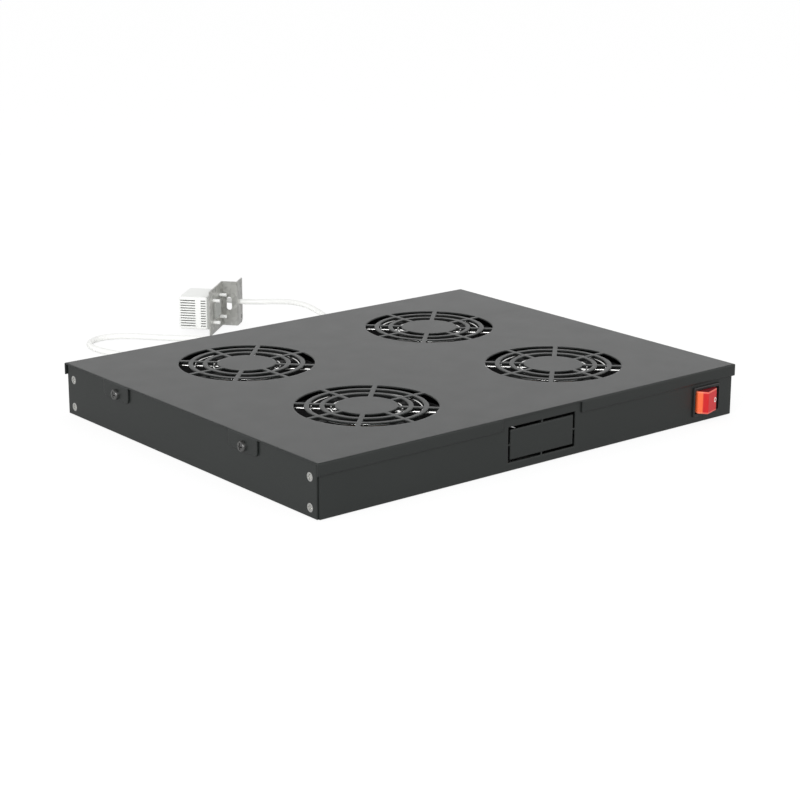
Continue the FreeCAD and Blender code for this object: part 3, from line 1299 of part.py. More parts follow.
def make_sensor_lead():
    """From its bushing over the floor, up through the bracket's flange and round to the case."""
    thin = size("sensor_lead_diameter")
    rest = thin / 2 + 2 * size("head_gap")
    tip = worked_out(f"{WALL_FACE}+bushing_reach")
    start, level = size("sensor_place"), size("bushing_level")
    middle = worked_out(CASE_MIDDLE)
    hole = size("grommet_place")
    points = [(start, tip, level), (start, 218, level), (start - 7, 235, 6), (164, 252, rest),
              (149, 267, rest), (139, 283, 5.8), (134.5, 299, 13.5), (124, 312, 19.5),
              (104, 321, middle), (84.8, 332.5, middle), thermostat_point(hole, -12, middle),
              thermostat_point(14.6, 4.5, middle), thermostat_point(14.6, 13.8, middle),
              thermostat_point(9.95, 21.85, middle), thermostat_point(1.9, 26.5, middle),
              thermostat_point(-size("case_setback"), 26.5, middle)]
    keep_feature("sensor_lead", bent_tube("sensor_lead", points, thin))


# ---------------------------------------------------------------- assembly

make_lid()
make_pan()
make_side_plate("left", -1)
make_side_plate("right", 1)
make_side_screws()
make_lid_screws()
for fan in range(1, len(FAN_PLACES) + 1):
    make_fan_frame(fan)
    make_fan_stator(fan)
    make_fan_rotor(fan)
    make_fan_guard(fan)
make_mount_screws()
make_guard_screws()
make_switch_housing()
make_switch_rocker()
make_switch_terminals()
make_switch_lamp()
make_bushing("mains_bushing", "mains_place")
make_bushing("sensor_bushing", "sensor_place")
make_terminal_block()
make_terminal_screws()
make_earth_stud()
make_thermostat_bracket()
make_thermostat_base()
make_thermostat_pegs()
make_thermostat_case()
make_thermostat_dial()
make_thermostat_switch()
make_mains_plug()
make_plug_pins()
make_coil()
make_leads()
make_sensor_lead()
doc.recompute()

failed = [thing.Name for thing in doc.Objects if {"Invalid", "Error"} & set(thing.State)]
failed += [node.Label for node in NODES if node.Shape.isNull() or not node.Shape.isValid()]
if failed:
    raise RuntimeError("failed: " + ", ".join(failed))

os.makedirs("parts", exist_ok=True)
for node in NODES:
    node.Shape.exportStep(f"parts/{node.Label}.step")
    print(f"{node.Label}: {len(node.Shape.Solids)} solids, {node.Shape.Volume:.1f} mm3")
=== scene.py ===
import bmesh
import bpy
import json
import math
import numpy as np
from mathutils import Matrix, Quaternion, Vector


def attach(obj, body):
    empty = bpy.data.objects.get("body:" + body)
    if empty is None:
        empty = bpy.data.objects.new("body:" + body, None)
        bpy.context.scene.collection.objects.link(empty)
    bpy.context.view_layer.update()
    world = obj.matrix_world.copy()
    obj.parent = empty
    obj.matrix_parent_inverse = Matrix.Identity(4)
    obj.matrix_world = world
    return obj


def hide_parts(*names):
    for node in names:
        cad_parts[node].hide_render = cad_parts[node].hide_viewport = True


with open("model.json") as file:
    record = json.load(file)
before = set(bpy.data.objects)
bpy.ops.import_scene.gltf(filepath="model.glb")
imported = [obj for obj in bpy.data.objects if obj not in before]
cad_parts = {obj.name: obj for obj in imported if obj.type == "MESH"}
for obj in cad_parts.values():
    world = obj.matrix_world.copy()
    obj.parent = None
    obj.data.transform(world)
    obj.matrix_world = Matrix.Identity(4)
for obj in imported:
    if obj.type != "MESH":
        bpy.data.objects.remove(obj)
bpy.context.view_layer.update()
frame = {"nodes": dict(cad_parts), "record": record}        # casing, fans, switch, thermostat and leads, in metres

nodes = frame["nodes"]
mm = 0.001
nearAxis = 0.01          # radius at which a turned profile closes, in millimetres


# surfaces on a grid

def gridFaces(rows, cols, wrapRows=False, wrapCols=False):
    # corner numbers of each quad, for points numbered row by row
    i, j = np.meshgrid(np.arange(rows if wrapRows else rows - 1),
                       np.arange(cols if wrapCols else cols - 1), indexing="ij")
    nextRow, nextCol = (i + 1) % rows, (j + 1) % cols
    corners = [i * cols + j, i * cols + nextCol, nextRow * cols + nextCol, nextRow * cols + j]
    return np.stack(corners, axis=-1).reshape(-1, 4)


def makePiece(name, points, faces, material, body="tray", slotName=None, sharp=35):
    # one object at the origin from points in millimetres; doubles merged, faces turned outwards
    mesh = bpy.data.meshes.new(name)
    mesh.from_pydata((np.asarray(points) * mm).tolist(), [], np.asarray(faces).tolist())
    work = bmesh.new()
    work.from_mesh(mesh)
    bmesh.ops.remove_doubles(work, verts=work.verts, dist=2e-6)
    bmesh.ops.recalc_face_normals(work, faces=work.faces)
    for face in work.faces:
        face.smooth = True
    for edge in work.edges:
        edge.smooth = len(edge.link_faces) == 2 and edge.calc_face_angle() < math.radians(sharp)
    work.to_mesh(mesh)
    work.free()
    mesh.materials.append(material)
    piece = bpy.data.objects.new(name, mesh)
    bpy.context.scene.collection.objects.link(piece)
    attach(piece, body)
    return piece


def joinGrids(grids):
    # several (grid, wrapRows, wrapCols) surfaces as one list of points and quads
    points, faces, count = [], [], 0
    for grid, wrapRows, wrapCols in grids:
        rows, cols = grid.shape[:2]
        points.append(grid.reshape(-1, 3))
        faces.append(gridFaces(rows, cols, wrapRows, wrapCols) + count)
        count += rows * cols
    return np.concatenate(points), np.concatenate(faces)


def turned(profile, steps=48):
    # a profile of (radius, height) carried round the z axis
    profile = np.asarray(profile, float)
    angle = np.linspace(0, 2 * np.pi, steps, endpoint=False)
    return np.stack([profile[:, :1] * np.cos(angle), profile[:, :1] * np.sin(angle),
                     np.repeat(profile[:, 1:], steps, axis=1)], axis=-1)


def tube(path, radius, sides=12, up=(0, 0, 1)):
    # a round section carried along a path, with both ends drawn in to a point
    path = np.asarray(path, float)
    ahead = np.gradient(path, axis=0)
    ahead /= np.linalg.norm(ahead, axis=1, keepdims=True)
    side = np.cross(ahead, up)
    side /= np.linalg.norm(side, axis=1, keepdims=True)
    lift = np.cross(side, ahead)
    angle = np.linspace(0, 2 * np.pi, sides, endpoint=False)[None, :, None]
    ring = path[:, None] + radius * (np.cos(angle) * side[:, None] + np.sin(angle) * lift[:, None])
    start = np.repeat(path[:1, None], sides, axis=1)
    end = np.repeat(path[-1:, None], sides, axis=1)
    return np.concatenate([start, ring, end])


def aimed(grid, place, axis):
    # turns local z to the axis, then moves the grid to its place
    turn = np.array(Vector((0, 0, 1)).rotation_difference(Vector(axis)).to_matrix())
    return grid @ turn.T + np.asarray(place, float)


def turnedAboutZ(points, degrees):
    angle = math.radians(degrees)
    turn = np.array([[math.cos(angle), -math.sin(angle), 0], [math.sin(angle), math.cos(angle), 0],
                     [0, 0, 1]])
    return np.asarray(points, float) @ turn.T


# camera, at the viewing angle

cameraSettings = {"place": (-1.0753, -1.3236, 0.5059), "ahead": (0.60565, 0.74544, -0.27841),
                  "roll": 0.00268, "lens": 93.87, "sensor": 36}

view = bpy.data.objects.new("viewCamera", bpy.data.cameras.new("viewCamera"))
view.data.lens = cameraSettings["lens"]
view.data.sensor_width = cameraSettings["sensor"]
view.data.clip_end = 20
view.location = cameraSettings["place"]
aim = Vector(cameraSettings["ahead"]).to_track_quat("-Z", "Y")
view.rotation_mode = "QUATERNION"
view.rotation_quaternion = aim @ Quaternion((0, 0, 1), cameraSettings["roll"])
bpy.context.scene.collection.objects.link(view)
bpy.context.scene.camera = view
bpy.context.scene.view_settings.view_transform = "Standard"
print("camera placed")


# materials

def link(tree, *pairs):
    for source, target in pairs:
        tree.links.new(source, target)


def makeGroup(name, inputs, outputs):
    group = bpy.data.node_groups.new(name, "ShaderNodeTree")
    for label, kind, value in inputs:
        socket = group.interface.new_socket(label, in_out="INPUT", socket_type=kind)
        socket.default_value = value
    for label, kind in outputs:
        group.interface.new_socket(label, in_out="OUTPUT", socket_type=kind)
    return group, group.nodes.new("NodeGroupInput"), group.nodes.new("NodeGroupOutput")


def mathNode(tree, operation, first, second, clamp=False):
    node = tree.nodes.new("ShaderNodeMath")
    node.operation = operation
    node.use_clamp = clamp
    for socket, value in zip(node.inputs, (first, second)):
        if isinstance(value, (int, float)):
            socket.default_value = value
        else:
            tree.links.new(value, socket)
    return node.outputs[0]


def noiseNode(tree, coordinates, scale, detail=3.0):
    node = tree.nodes.new("ShaderNodeTexNoise")
    node.inputs["Detail"].default_value = detail
    tree.links.new(coordinates, node.inputs["Vector"])
    if isinstance(scale, (int, float)):
        node.inputs["Scale"].default_value = scale
    else:
        tree.links.new(scale, node.inputs["Scale"])
    return node.outputs["Fac"]


def rampNode(tree, value, start, end, low=0.0, high=1.0, smooth=False):
    node = tree.nodes.new("ShaderNodeMapRange")
    node.interpolation_type = "SMOOTHSTEP" if smooth else "LINEAR"
    for label, number in (("From Min", start), ("From Max", end), ("To Min", low), ("To Max", high)):
        node.inputs[label].default_value = number
    tree.links.new(value, node.inputs["Value"])
    return node.outputs["Result"]


def mixNode(tree, factor, first, second):
    node = tree.nodes.new("ShaderNodeMix")
    node.data_type = "RGBA"
    tree.links.new(factor, node.inputs["Factor"])
    for label, colour in (("A", first), ("B", second)):
        if isinstance(colour, tuple):
            node.inputs[label].default_value = (*colour, 1)
        else:
            tree.links.new(colour, node.inputs[label])
    return node.outputs["Result"]


reliefDepth = 0.0004     # from the lows to the highs of a surface's grain
driftScale = 0.03        # scale of the wandering roughness, as a share of the grain's


def makeGrainGroup():
    # fine relief and a roughness that wanders with it
    group, given, made = makeGroup(
        "surfaceGrain",
        [("Scale", "NodeSocketFloat", 900.0), ("Relief", "NodeSocketFloat", 0.1),
         ("Roughness", "NodeSocketFloat", 0.4), ("Spread", "NodeSocketFloat", 0.1)],
        [("Roughness", "NodeSocketFloat"), ("Normal", "NodeSocketVector")])
    place = group.nodes.new("ShaderNodeTexCoord").outputs["Object"]
    fine = noiseNode(group, place, given.outputs["Scale"], 2.0)
    broadScale = mathNode(group, "MULTIPLY", given.outputs["Scale"], driftScale)
    fromMean = mathNode(group, "SUBTRACT", noiseNode(group, place, broadScale, 4.0), 0.5)
    bump = group.nodes.new("ShaderNodeBump")
    bump.inputs["Distance"].default_value = reliefDepth
    drift = mathNode(group, "MULTIPLY", fromMean, given.outputs["Spread"])
    rough = mathNode(group, "ADD", given.outputs["Roughness"], drift, True)
    link(group, (fine, bump.inputs["Height"]), (given.outputs["Relief"], bump.inputs["Strength"]),
         (rough, made.inputs["Roughness"]), (bump.outputs["Normal"], made.inputs["Normal"]))
    return group


def makeToneGroup():
    # a colour that drifts a little between two tones
    group, given, made = makeGroup(
        "toneDrift",
        [("Tone", "NodeSocketColor", (0.5, 0.5, 0.5, 1)),
         ("Other", "NodeSocketColor", (0.4, 0.4, 0.4, 1)), ("Scale", "NodeSocketFloat", 20.0)],
        [("Color", "NodeSocketColor")])
    place = group.nodes.new("ShaderNodeTexCoord").outputs["Object"]
    drift = noiseNode(group, place, given.outputs["Scale"], 5.0)
    mixed = mixNode(group, drift, given.outputs["Tone"], given.outputs["Other"])
    link(group, (mixed, made.inputs["Color"]))
    return group


grainGroup, toneGroup = makeGrainGroup(), makeToneGroup()


def makeMaterial(name, tone, other, roughness, grain=900.0, relief=0.1, spread=0.1, metallic=0.0,
                 toneScale=20.0, **sockets):
    material = bpy.data.materials.new(name)
    material.use_nodes = True
    tree = material.node_tree
    shader = tree.nodes["Principled BSDF"]
    grained = tree.nodes.new("ShaderNodeGroup")
    grained.node_tree = grainGroup
    for label, value in (("Scale", grain), ("Relief", relief), ("Roughness", roughness),
                         ("Spread", spread)):
        grained.inputs[label].default_value = value
    toned = tree.nodes.new("ShaderNodeGroup")
    toned.node_tree = toneGroup
    for label, value in (("Tone", (*tone, 1)), ("Other", (*other, 1)), ("Scale", toneScale)):
        toned.inputs[label].default_value = value
    link(tree, (grained.outputs["Roughness"], shader.inputs["Roughness"]),
         (grained.outputs["Normal"], shader.inputs["Normal"]),
         (toned.outputs["Color"], shader.inputs["Base Color"]))
    shader.inputs["Metallic"].default_value = metallic
    for label, value in sockets.items():
        shader.inputs[label.replace("_", " ")].default_value = value
    return material


coatSettings = {"tone": (0.011, 0.0135, 0.0125), "other": (0.014, 0.0165, 0.0155), "roughness": 0.36,
                "gloss": 0.5, "grain": 1400.0, "relief": 0.16, "spread": 0.06, "foldRadius": 0.0022,
                "samples": 6}


def makePowderCoat():
    # the coat is thicker and rounder along folds and cut edges
    s = coatSettings
    material = makeMaterial("powderCoat", s["tone"], s["other"], s["roughness"], grain=s["grain"],
                            relief=s["relief"], spread=s["spread"], Specular_IOR_Level=s["gloss"])
    tree = material.node_tree
    rounded = tree.nodes.new("ShaderNodeBevel")
    rounded.samples = s["samples"]
    rounded.inputs["Radius"].default_value = s["foldRadius"]
    bump = tree.nodes.new("ShaderNodeBump")
    bump.inputs["Strength"].default_value = s["relief"]
    bump.inputs["Distance"].default_value = reliefDepth
    place = tree.nodes.new("ShaderNodeTexCoord").outputs["Object"]
    link(tree, (rounded.outputs["Normal"], bump.inputs["Normal"]),
         (noiseNode(tree, place, s["grain"], 2.0), bump.inputs["Height"]),
         (bump.outputs["Normal"], tree.nodes["Principled BSDF"].inputs["Normal"]))
    return material


powderCoat = makePowderCoat()
blackCasting = makeMaterial("blackCasting", (0.012, 0.012, 0.013), (0.018, 0.018, 0.019), 0.55,
                            grain=700.0, relief=0.3)
fanNylon = makeMaterial("fanNylon", (0.013, 0.013, 0.013), (0.019, 0.019, 0.020), 0.48,
                        grain=500.0, relief=0.08)
platedWire = makeMaterial("platedWire", (0.84, 0.84, 0.82), (0.76, 0.76, 0.75), 0.17,
                          grain=900.0, relief=0.02, metallic=1.0, toneScale=30.0)
zincPlate = makeMaterial("zincPlate", (0.80, 0.80, 0.77), (0.66, 0.66, 0.64), 0.28,
                         grain=1800.0, relief=0.08, metallic=1.0, toneScale=300.0)
blackenedSteel = makeMaterial("blackenedSteel", (0.13, 0.13, 0.13), (0.19, 0.19, 0.185), 0.3,
                              grain=1500.0, relief=0.08, metallic=0.85, toneScale=250.0)
copperWinding = makeMaterial("copperWinding", (0.50, 0.22, 0.08), (0.38, 0.15, 0.05), 0.35,
                             grain=1100.0, relief=0.5, metallic=0.8, toneScale=400.0)
glossNylon = makeMaterial("glossNylon", (0.012, 0.012, 0.012), (0.018, 0.018, 0.018), 0.24,
                          grain=300.0, relief=0.02)
mattNylon = makeMaterial("mattNylon", (0.02, 0.02, 0.02), (0.03, 0.03, 0.03), 0.5,
                         grain=900.0, relief=0.12)
tinnedBrass = makeMaterial("tinnedBrass", (0.72, 0.66, 0.50), (0.60, 0.54, 0.38), 0.28,
                           grain=1500.0, relief=0.06, metallic=1.0, toneScale=200.0)
whitePlastic = makeMaterial("whitePlastic", (0.88, 0.89, 0.87), (0.85, 0.86, 0.84), 0.42,
                            grain=1300.0, relief=0.06, toneScale=60.0)
greyPlastic = makeMaterial("greyPlastic", (0.36, 0.37, 0.35), (0.42, 0.43, 0.41), 0.5,
                           grain=1200.0, relief=0.08, toneScale=80.0)
whiteVinyl = makeMaterial("whiteVinyl", (0.89, 0.89, 0.87), (0.86, 0.87, 0.85), 0.33,
                          grain=700.0, relief=0.05, toneScale=40.0)
markWhite = makeMaterial("markWhite", (0.85, 0.83, 0.78), (0.80, 0.78, 0.74), 0.4,
                         grain=900.0, relief=0.03)
lampGlass = makeMaterial("lampGlass", (0.95, 0.80, 0.70), (0.90, 0.70, 0.60), 0.1, grain=200.0,
                         relief=0.01, spread=0.02)


def makeGalvanised():
    # zinc spangle: flat cells of slightly different tone and gloss, with rolling streaks across
    material = makeMaterial("galvanisedSheet", (0.62, 0.62, 0.59), (0.50, 0.50, 0.48), 0.36,
                            grain=800.0, relief=0.1, metallic=1.0, toneScale=150.0)
    tree = material.node_tree
    shader = tree.nodes["Principled BSDF"]
    place = tree.nodes.new("ShaderNodeTexCoord").outputs["Object"]
    cells = tree.nodes.new("ShaderNodeTexVoronoi")
    cells.inputs["Scale"].default_value = 260.0
    ramp = tree.nodes.new("ShaderNodeValToRGB")
    ramp.color_ramp.elements[0].color = (0.47, 0.47, 0.45, 1)
    ramp.color_ramp.elements[1].color = (0.72, 0.72, 0.69, 1)
    link(tree, (place, cells.inputs["Vector"]), (cells.outputs["Color"], ramp.inputs["Fac"]),
         (ramp.outputs["Color"], shader.inputs["Base Color"]))
    return material


# the orange, pale rim and dark top tones below are painted light: a painted glow, a painted highlight and painted
# shade
rockerSettings = {"pivot": (187.0, -175.4, 18.5), "height": 19.4, "edge": 0.8, "sharp": 20,
                  "pinRadius": 1.5, "pinReach": 10.65, "raisedEnd": (-12.2, -4.6),
                  "crest": (-6.9, -11.7), "pressedEnd": (8.2, -6.9),
                  "back": ((10.6, -3.4), (10.2, 0.5), (6.5, 2.6), (-6.5, 2.6), (-11.4, -0.6)),
                  "ringPlace": 5.8, "ringRadius": 1.75, "markWidth": 0.7, "markRise": 0.1,
                  "markSink": 0.3, "red": (0.56, 0.008, 0.012), "paintedGlowOrange": (0.88, 0.15, 0.05),
                  "paintedRimHighlight": (1.0, 0.32, 0.22), "paintedTopShade": (0.20, 0.002, 0.008),
                  "scatter": (0.004, 0.0008, 0.0004), "litFrom": 177.1, "litTo": 177.7,
                  "rimHighlightFrom": 8.1, "rimHighlightTo": 8.4, "rimHighlightShare": 0.35, "topShadeFrom": 0.15, "topShadeTo": 0.05}


def makeRockerLens():
    # translucent red moulding, with painted light: a painted orange glow where its raised end
    # lets light through, a painted highlight along its upper and lower rims and painted shade on top
    s = rockerSettings
    material = makeMaterial("rockerLens", s["red"], s["red"], 0.3, grain=300.0, relief=0.02,
                            Subsurface_Weight=0.1, Specular_IOR_Level=0.4)
    tree = material.node_tree
    shader = tree.nodes["Principled BSDF"]
    apart = tree.nodes.new("ShaderNodeSeparateXYZ")
    link(tree, (tree.nodes.new("ShaderNodeTexCoord").outputs["Object"], apart.inputs["Vector"]))
    # painted glow: the raised end is painted orange where light would come through it
    raised = rampNode(tree, apart.outputs["X"], s["litTo"] * mm, s["litFrom"] * mm)
    lit = mixNode(tree, raised, s["red"], s["paintedGlowOrange"])
    # painted highlight: a paler band is painted along the upper and lower rims
    fromPivot = mathNode(tree, "SUBTRACT", apart.outputs["Z"], s["pivot"][2] * mm)
    aside = mathNode(tree, "ABSOLUTE", fromPivot, 0.0)
    rim = rampNode(tree, aside, s["rimHighlightFrom"] * mm, s["rimHighlightTo"] * mm)
    withRimHighlight = mixNode(tree, mathNode(tree, "MULTIPLY", rim, s["rimHighlightShare"]), lit, s["paintedRimHighlight"])
    # painted shade: the top of the rocker is painted dark red
    top = (s["pivot"][2] + s["height"] / 2) * mm
    paintedTopShadeMask = rampNode(tree, apart.outputs["Z"], top - s["topShadeFrom"] * mm, top - s["topShadeTo"] * mm)
    shaded = mixNode(tree, paintedTopShadeMask, withRimHighlight, s["paintedTopShade"])
    shader.inputs["Subsurface Radius"].default_value = s["scatter"]
    link(tree, (shaded, shader.inputs["Base Color"]))
    return material


galvanisedSheet, rockerLens = makeGalvanised(), makeRockerLens()

finishes = {"black_coat": powderCoat, "zinc": zincPlate, "black_screw": blackenedSteel,
            "fan_casting": blackCasting, "winding": copperWinding, "fan_plastic": fanNylon,
            "guard_wire": platedWire, "black_gloss": glossNylon, "red_lens": rockerLens,
            "brass_contact": tinnedBrass, "lamp_glass": lampGlass, "black_nylon": mattNylon,
            "white_plastic": whitePlastic, "grey_plastic": greyPlastic,
            "galvanised": galvanisedSheet, "white_vinyl": whiteVinyl}

for part in frame["record"]["subparts"]:
    for place in nodes[part["node"]].material_slots:
        place.material = finishes[part["material_slot"]]
print("materials made:", len(finishes))


# leads

leadSettings = {"diameter": 5.6, "length": 1.70, "coilMiddle": (72.0, 223.5), "coilRadius": 33.1,
                "turns": 6, "pointsPerTurn": 16, "cross": 0.4, "dip": 3.0, "floorGap": 0.05,
                "slack": 0.02, "entryReach": 10, "entryLevel": 2.9,
                "tail": ((9, 0, 8.45), (18, 0.6, 9.15)), "plug": (120.2, 233.5, 10.05)}
mainsRoute = [(4, 203.2, 14), (4, 219, 13.8), (1, 235, 8.4), (-12, 250, 2.9), (-31, 258, 2.9),
              (-52, 262.5, 2.9), (-71, 275, 2.9), (-84, 294, 2.9), (-93, 315, 2.9), (-97.5, 337, 2.9),
              (-93.5, 356.5, 2.9), (-78.5, 369.5, 2.9), (-59, 369, 2.9), (-40.5, 355, 2.9),
              (-22, 331, 2.9), (0, 311, 2.9), (18, 290, 2.9), (36, 271, 2.9)]
sensorSettings = {"diameter": 5.2, "length": 0.25}
sensorRoute = [(186, 203.2, 14), (186, 218, 14), (179, 235, 6), (164, 252, 2.7), (149, 267, 2.7),
               (139, 283, 5.8), (134.5, 299, 13.5), (124, 312, 19.5), (104, 321, 22.2),
               (84.8, 332.5, 22.2)]
bracketSettings = {"fold": (56.7, 350.4), "turn": 41.0, "middle": 22.2}
sensorEnd = [(9, -12), (14.6, 4.5), (14.6, 13.8), (9.95, 21.85), (1.9, 26.5), (-7.5, 26.5)]


def makeLead(name, route, diameter, material):
    # one smooth spline that has the route's points as its control points
    curve = bpy.data.curves.new(name, "CURVE")
    curve.dimensions = "3D"
    curve.bevel_depth = diameter / 2 * mm
    curve.bevel_resolution = 5
    curve.use_fill_caps = True
    spline = curve.splines.new("NURBS")
    spline.points.add(len(route) - 1)
    for point, place in zip(spline.points, route):
        point.co = (*(value * mm for value in place), 1)
    spline.order_u = 3
    spline.use_endpoint_u = True
    spline.resolution_u = 6
    curve.materials.append(material)
    lead = bpy.data.objects.new(name, curve)
    bpy.context.scene.collection.objects.link(lead)
    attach(lead, "tray")
    return lead


def coilPoints():
    # turns side by side from the outside in, then on top of them from the inside out; each steps
    # over only after it has passed the place where the lead comes in, so that the second turn
    # starts in the place of the first
    s = leadSettings
    each, thick, middle = s["pointsPerTurn"], s["diameter"], s["coilMiddle"]
    slots = np.array([(1, 0), (0, 0), (-1, 0), (-1, 1), (0, 1), (1, 1)])      # ring and layer
    spread = 1 / (0.75 + 0.25 * math.cos(2 * math.pi / each))
    points = []
    for number in range(1, s["turns"] * each + 3):
        turn, part = divmod(number / each, 1)
        last = min(int(turn), len(slots) - 1)
        before = max(last - 1, 0)
        step = min(part / s["cross"], 1) if 0 < turn < s["turns"] else 1
        move = slots[last] - slots[before]
        ring, layer = slots[before] + move * step * step * (3 - 2 * step)
        dip = s["dip"] * math.sin(math.pi * step) * move[1]
        radius = (s["coilRadius"] + ring * thick - dip) * spread
        angle = math.pi / 2 - 2 * math.pi * number / each
        points.append((middle[0] + radius * math.cos(angle), middle[1] + radius * math.sin(angle),
                       s["floorGap"] + thick * (0.5 + layer) + s["slack"]))
    return points


def leavingPoint(ahead, aside, level):
    # on the tangent that leaves the outer turn on its far right
    s, slant = leadSettings, math.sqrt(0.5)
    reach = s["coilRadius"] + s["diameter"]
    return (s["coilMiddle"][0] + slant * (reach + ahead + aside),
            s["coilMiddle"][1] + slant * (reach - ahead + aside), level)


entry = (leadSettings["coilMiddle"][0] - leadSettings["entryReach"],
         leadSettings["coilMiddle"][1] + leadSettings["coilRadius"] + leadSettings["diameter"],
         leadSettings["entryLevel"])
tail = [leavingPoint(*place) for place in leadSettings["tail"]] + [leadSettings["plug"]]
mainsLead = makeLead("mainsLead", mainsRoute + [entry] + coilPoints() + tail,
                     leadSettings["diameter"], whiteVinyl)
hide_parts("mains_lead", "mains_lead_coil", "mains_lead_tail")

farEnd = turnedAboutZ([(x, y, 0) for x, y in sensorEnd], bracketSettings["turn"])
farEnd = farEnd + np.array((*bracketSettings["fold"], bracketSettings["middle"]))
sensorLead = makeLead("sensorLead", sensorRoute + farEnd.tolist(), sensorSettings["diameter"], whiteVinyl)
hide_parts("sensor_lead")


tieSettings = {"angles": (200.0, 340.0), "width": 2.4, "thickness": 0.9, "halfAcross": 9.0,
               "low": 0.5, "high": 11.6, "squareness": 0.32, "steps": 64}


def makeTie(number, degrees):
    # a flat strap carried round a rounded rectangle that closes on the coil's section
    s = tieSettings
    angle = np.linspace(0, 2 * np.pi, s["steps"], endpoint=False)
    rise = (s["high"] - s["low"]) / 2
    shape = np.stack([np.sign(wave) * np.abs(wave) ** s["squareness"] * reach
                      for wave, reach in ((np.cos(angle), s["halfAcross"]), (np.sin(angle), rise))],
                     axis=-1)
    middle = np.array([leadSettings["coilRadius"], (s["low"] + s["high"]) / 2])
    rows = []
    for grow, aside in ((0, -1), (0, 1), (1, 1), (1, -1)):
        scale = 1 - grow * s["thickness"] / np.array([s["halfAcross"], rise])
        ring = middle + shape * scale
        level = np.full(s["steps"], aside * s["width"] / 2)
        rows.append(np.stack([ring[:, 0], level, ring[:, 1]], axis=-1))
    grid = turnedAboutZ(np.stack(rows), degrees) + np.array((*leadSettings["coilMiddle"], 0))
    points, faces = joinGrids([(grid, True, True)])
    return makePiece(f"coilTie{number}", points, faces, mattNylon, slotName="black_nylon")


ties = [makeTie(number, angle) for number, angle in enumerate(tieSettings["angles"], 1)]


# finger guards

guardSettings = {"pitch": (100.5, 82.0), "level": 39.2, "wire": 0.8, "rings": (13.0, 28.5, 44.5),
                 "ringLevel": 41.5, "eyePlace": 52.4, "eyeRadius": 3.4, "eyeTurn": 338,
                 "legEnd": 1.6, "sides": 12, "legSteps": 16, "eyeSteps": 30, "ringSteps": 72}


def guardGrids(place):
    # each leg runs along a diagonal and curls into an eyelet at both ends; the rings lie on top
    s = guardSettings
    level = s["level"] + s["wire"]
    reach = s["eyePlace"] * math.sqrt(2)
    grids = []
    for turn in (45.0, 135.0):
        swing = np.linspace(math.radians(180), math.radians(180 - s["eyeTurn"]), s["eyeSteps"])
        stretch = np.linspace(0, reach - s["eyeRadius"] * s["legEnd"], s["legSteps"])
        loop = np.stack([reach + s["eyeRadius"] * np.cos(swing), s["eyeRadius"] * np.sin(swing),
                         np.full_like(swing, level)], axis=-1)
        line = np.stack([stretch, np.zeros_like(stretch), np.full_like(stretch, level)], axis=-1)
        half = np.concatenate([line, loop])
        other = half[::-1] * (-1, -1, 1)
        path = turnedAboutZ(np.concatenate([other, half[1:]]), turn)
        grids.append((tube(path, s["wire"], s["sides"]) + place, False, True))
    around = np.linspace(0, 2 * np.pi, s["ringSteps"], endpoint=False)[:, None]
    section = np.linspace(0, 2 * np.pi, s["sides"], endpoint=False)[None, :]
    lift = np.repeat(s["ringLevel"] + s["wire"] * np.sin(section), s["ringSteps"], axis=0)
    for mean in s["rings"]:
        across = mean + s["wire"] * np.cos(section)
        ring = np.stack([across * np.cos(around), across * np.sin(around), lift], axis=-1)
        grids.append((ring + place, True, True))
    return grids


for number, (x, y) in enumerate([(-1, -1), (1, -1), (-1, 1), (1, 1)], 1):
    middle = np.array((x * guardSettings["pitch"][0], y * guardSettings["pitch"][1], 0))
    guard = makePiece(f"wireGuard{number}", *joinGrids(guardGrids(middle)), platedWire,
                      slotName="guard_wire")
    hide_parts(f"fan_{number}_guard")
print("finger guards made")


# screws

screwSettings = {"sideFace": 219.65, "sidePlaces": (-166.7, 166.7), "sideLevels": (7.4, 31.0),
                 "lidFace": 221.0, "lidPlaces": (-84.0, 97.0), "lidLevel": 34.3, "fanPitch": 104.8,
                 "fanLevel": 0.05, "sunkHead": 3.5, "sunkDepth": 1.15, "panHead": 4.5,
                 "panRise": 2.8, "panFall": 0.16, "shank": 1.9, "play": 0.05, "skin": 0.02,
                 "threadFrom": 1.6, "threadDepth": 0.28, "threadPitch": 0.35, "plainLength": 2.6}
sunkRecess, panRecess = (0.42, 2.0, 1.3), (0.5, 2.6, 1.9)      # arm width, arm length and depth
screwKinds = {"side": (8.0, sunkRecess), "fan": (12.0, sunkRecess), "pan": (8.0, panRecess)}
recessSettings = {"crossing": 1.45, "crossingEdge": 0.70, "past": 1.15, "pastEdge": 0.30,
                  "wall": 0.06, "widest": 0.76, "rise": 0.45}


def crossHead(profile, armWidth, armLength, depth):
    # rings of points over a head's face; each quarter has its columns on the edges of a cross
    # recess whose floor rises from the middle to the ends of its arms
    s = recessSettings
    profile = np.asarray(profile, float)
    radius, height = profile[:, 0], profile[:, 1]
    crossing = radius <= armWidth * s["crossing"]
    flank = np.arcsin(np.clip(armWidth / np.maximum(radius, 1e-6), 0, 1))
    edge = np.where(crossing, s["crossingEdge"], flank)
    edge = np.where(radius > armLength * s["past"], s["pastEdge"], edge)
    wall = np.minimum(edge + s["wall"], s["widest"])
    steps = np.stack([0 * edge, edge * 0.6, edge, wall, (wall + math.pi / 4) / 2], axis=-1)
    quarter = np.concatenate([steps, np.full((len(radius), 1), math.pi / 4),
                              math.pi / 2 - steps[:, :0:-1]], axis=1)
    angle = np.concatenate([quarter + math.pi / 2 * k for k in range(4)], axis=1)
    inside = np.where(crossing[:, None], 1, [1, 1, 1, 0, 0, 0, 0, 0, 1, 1])
    inside = np.where(radius[:, None] > armLength, 0, inside)
    floorLevel = depth * (1 - s["rise"] * np.clip(radius / armLength, 0, 1))[:, None]
    drop = np.concatenate([inside] * 4, axis=1) * floorLevel
    return np.stack([radius[:, None] * np.cos(angle), radius[:, None] * np.sin(angle),
                     height[:, None] - drop], axis=-1)


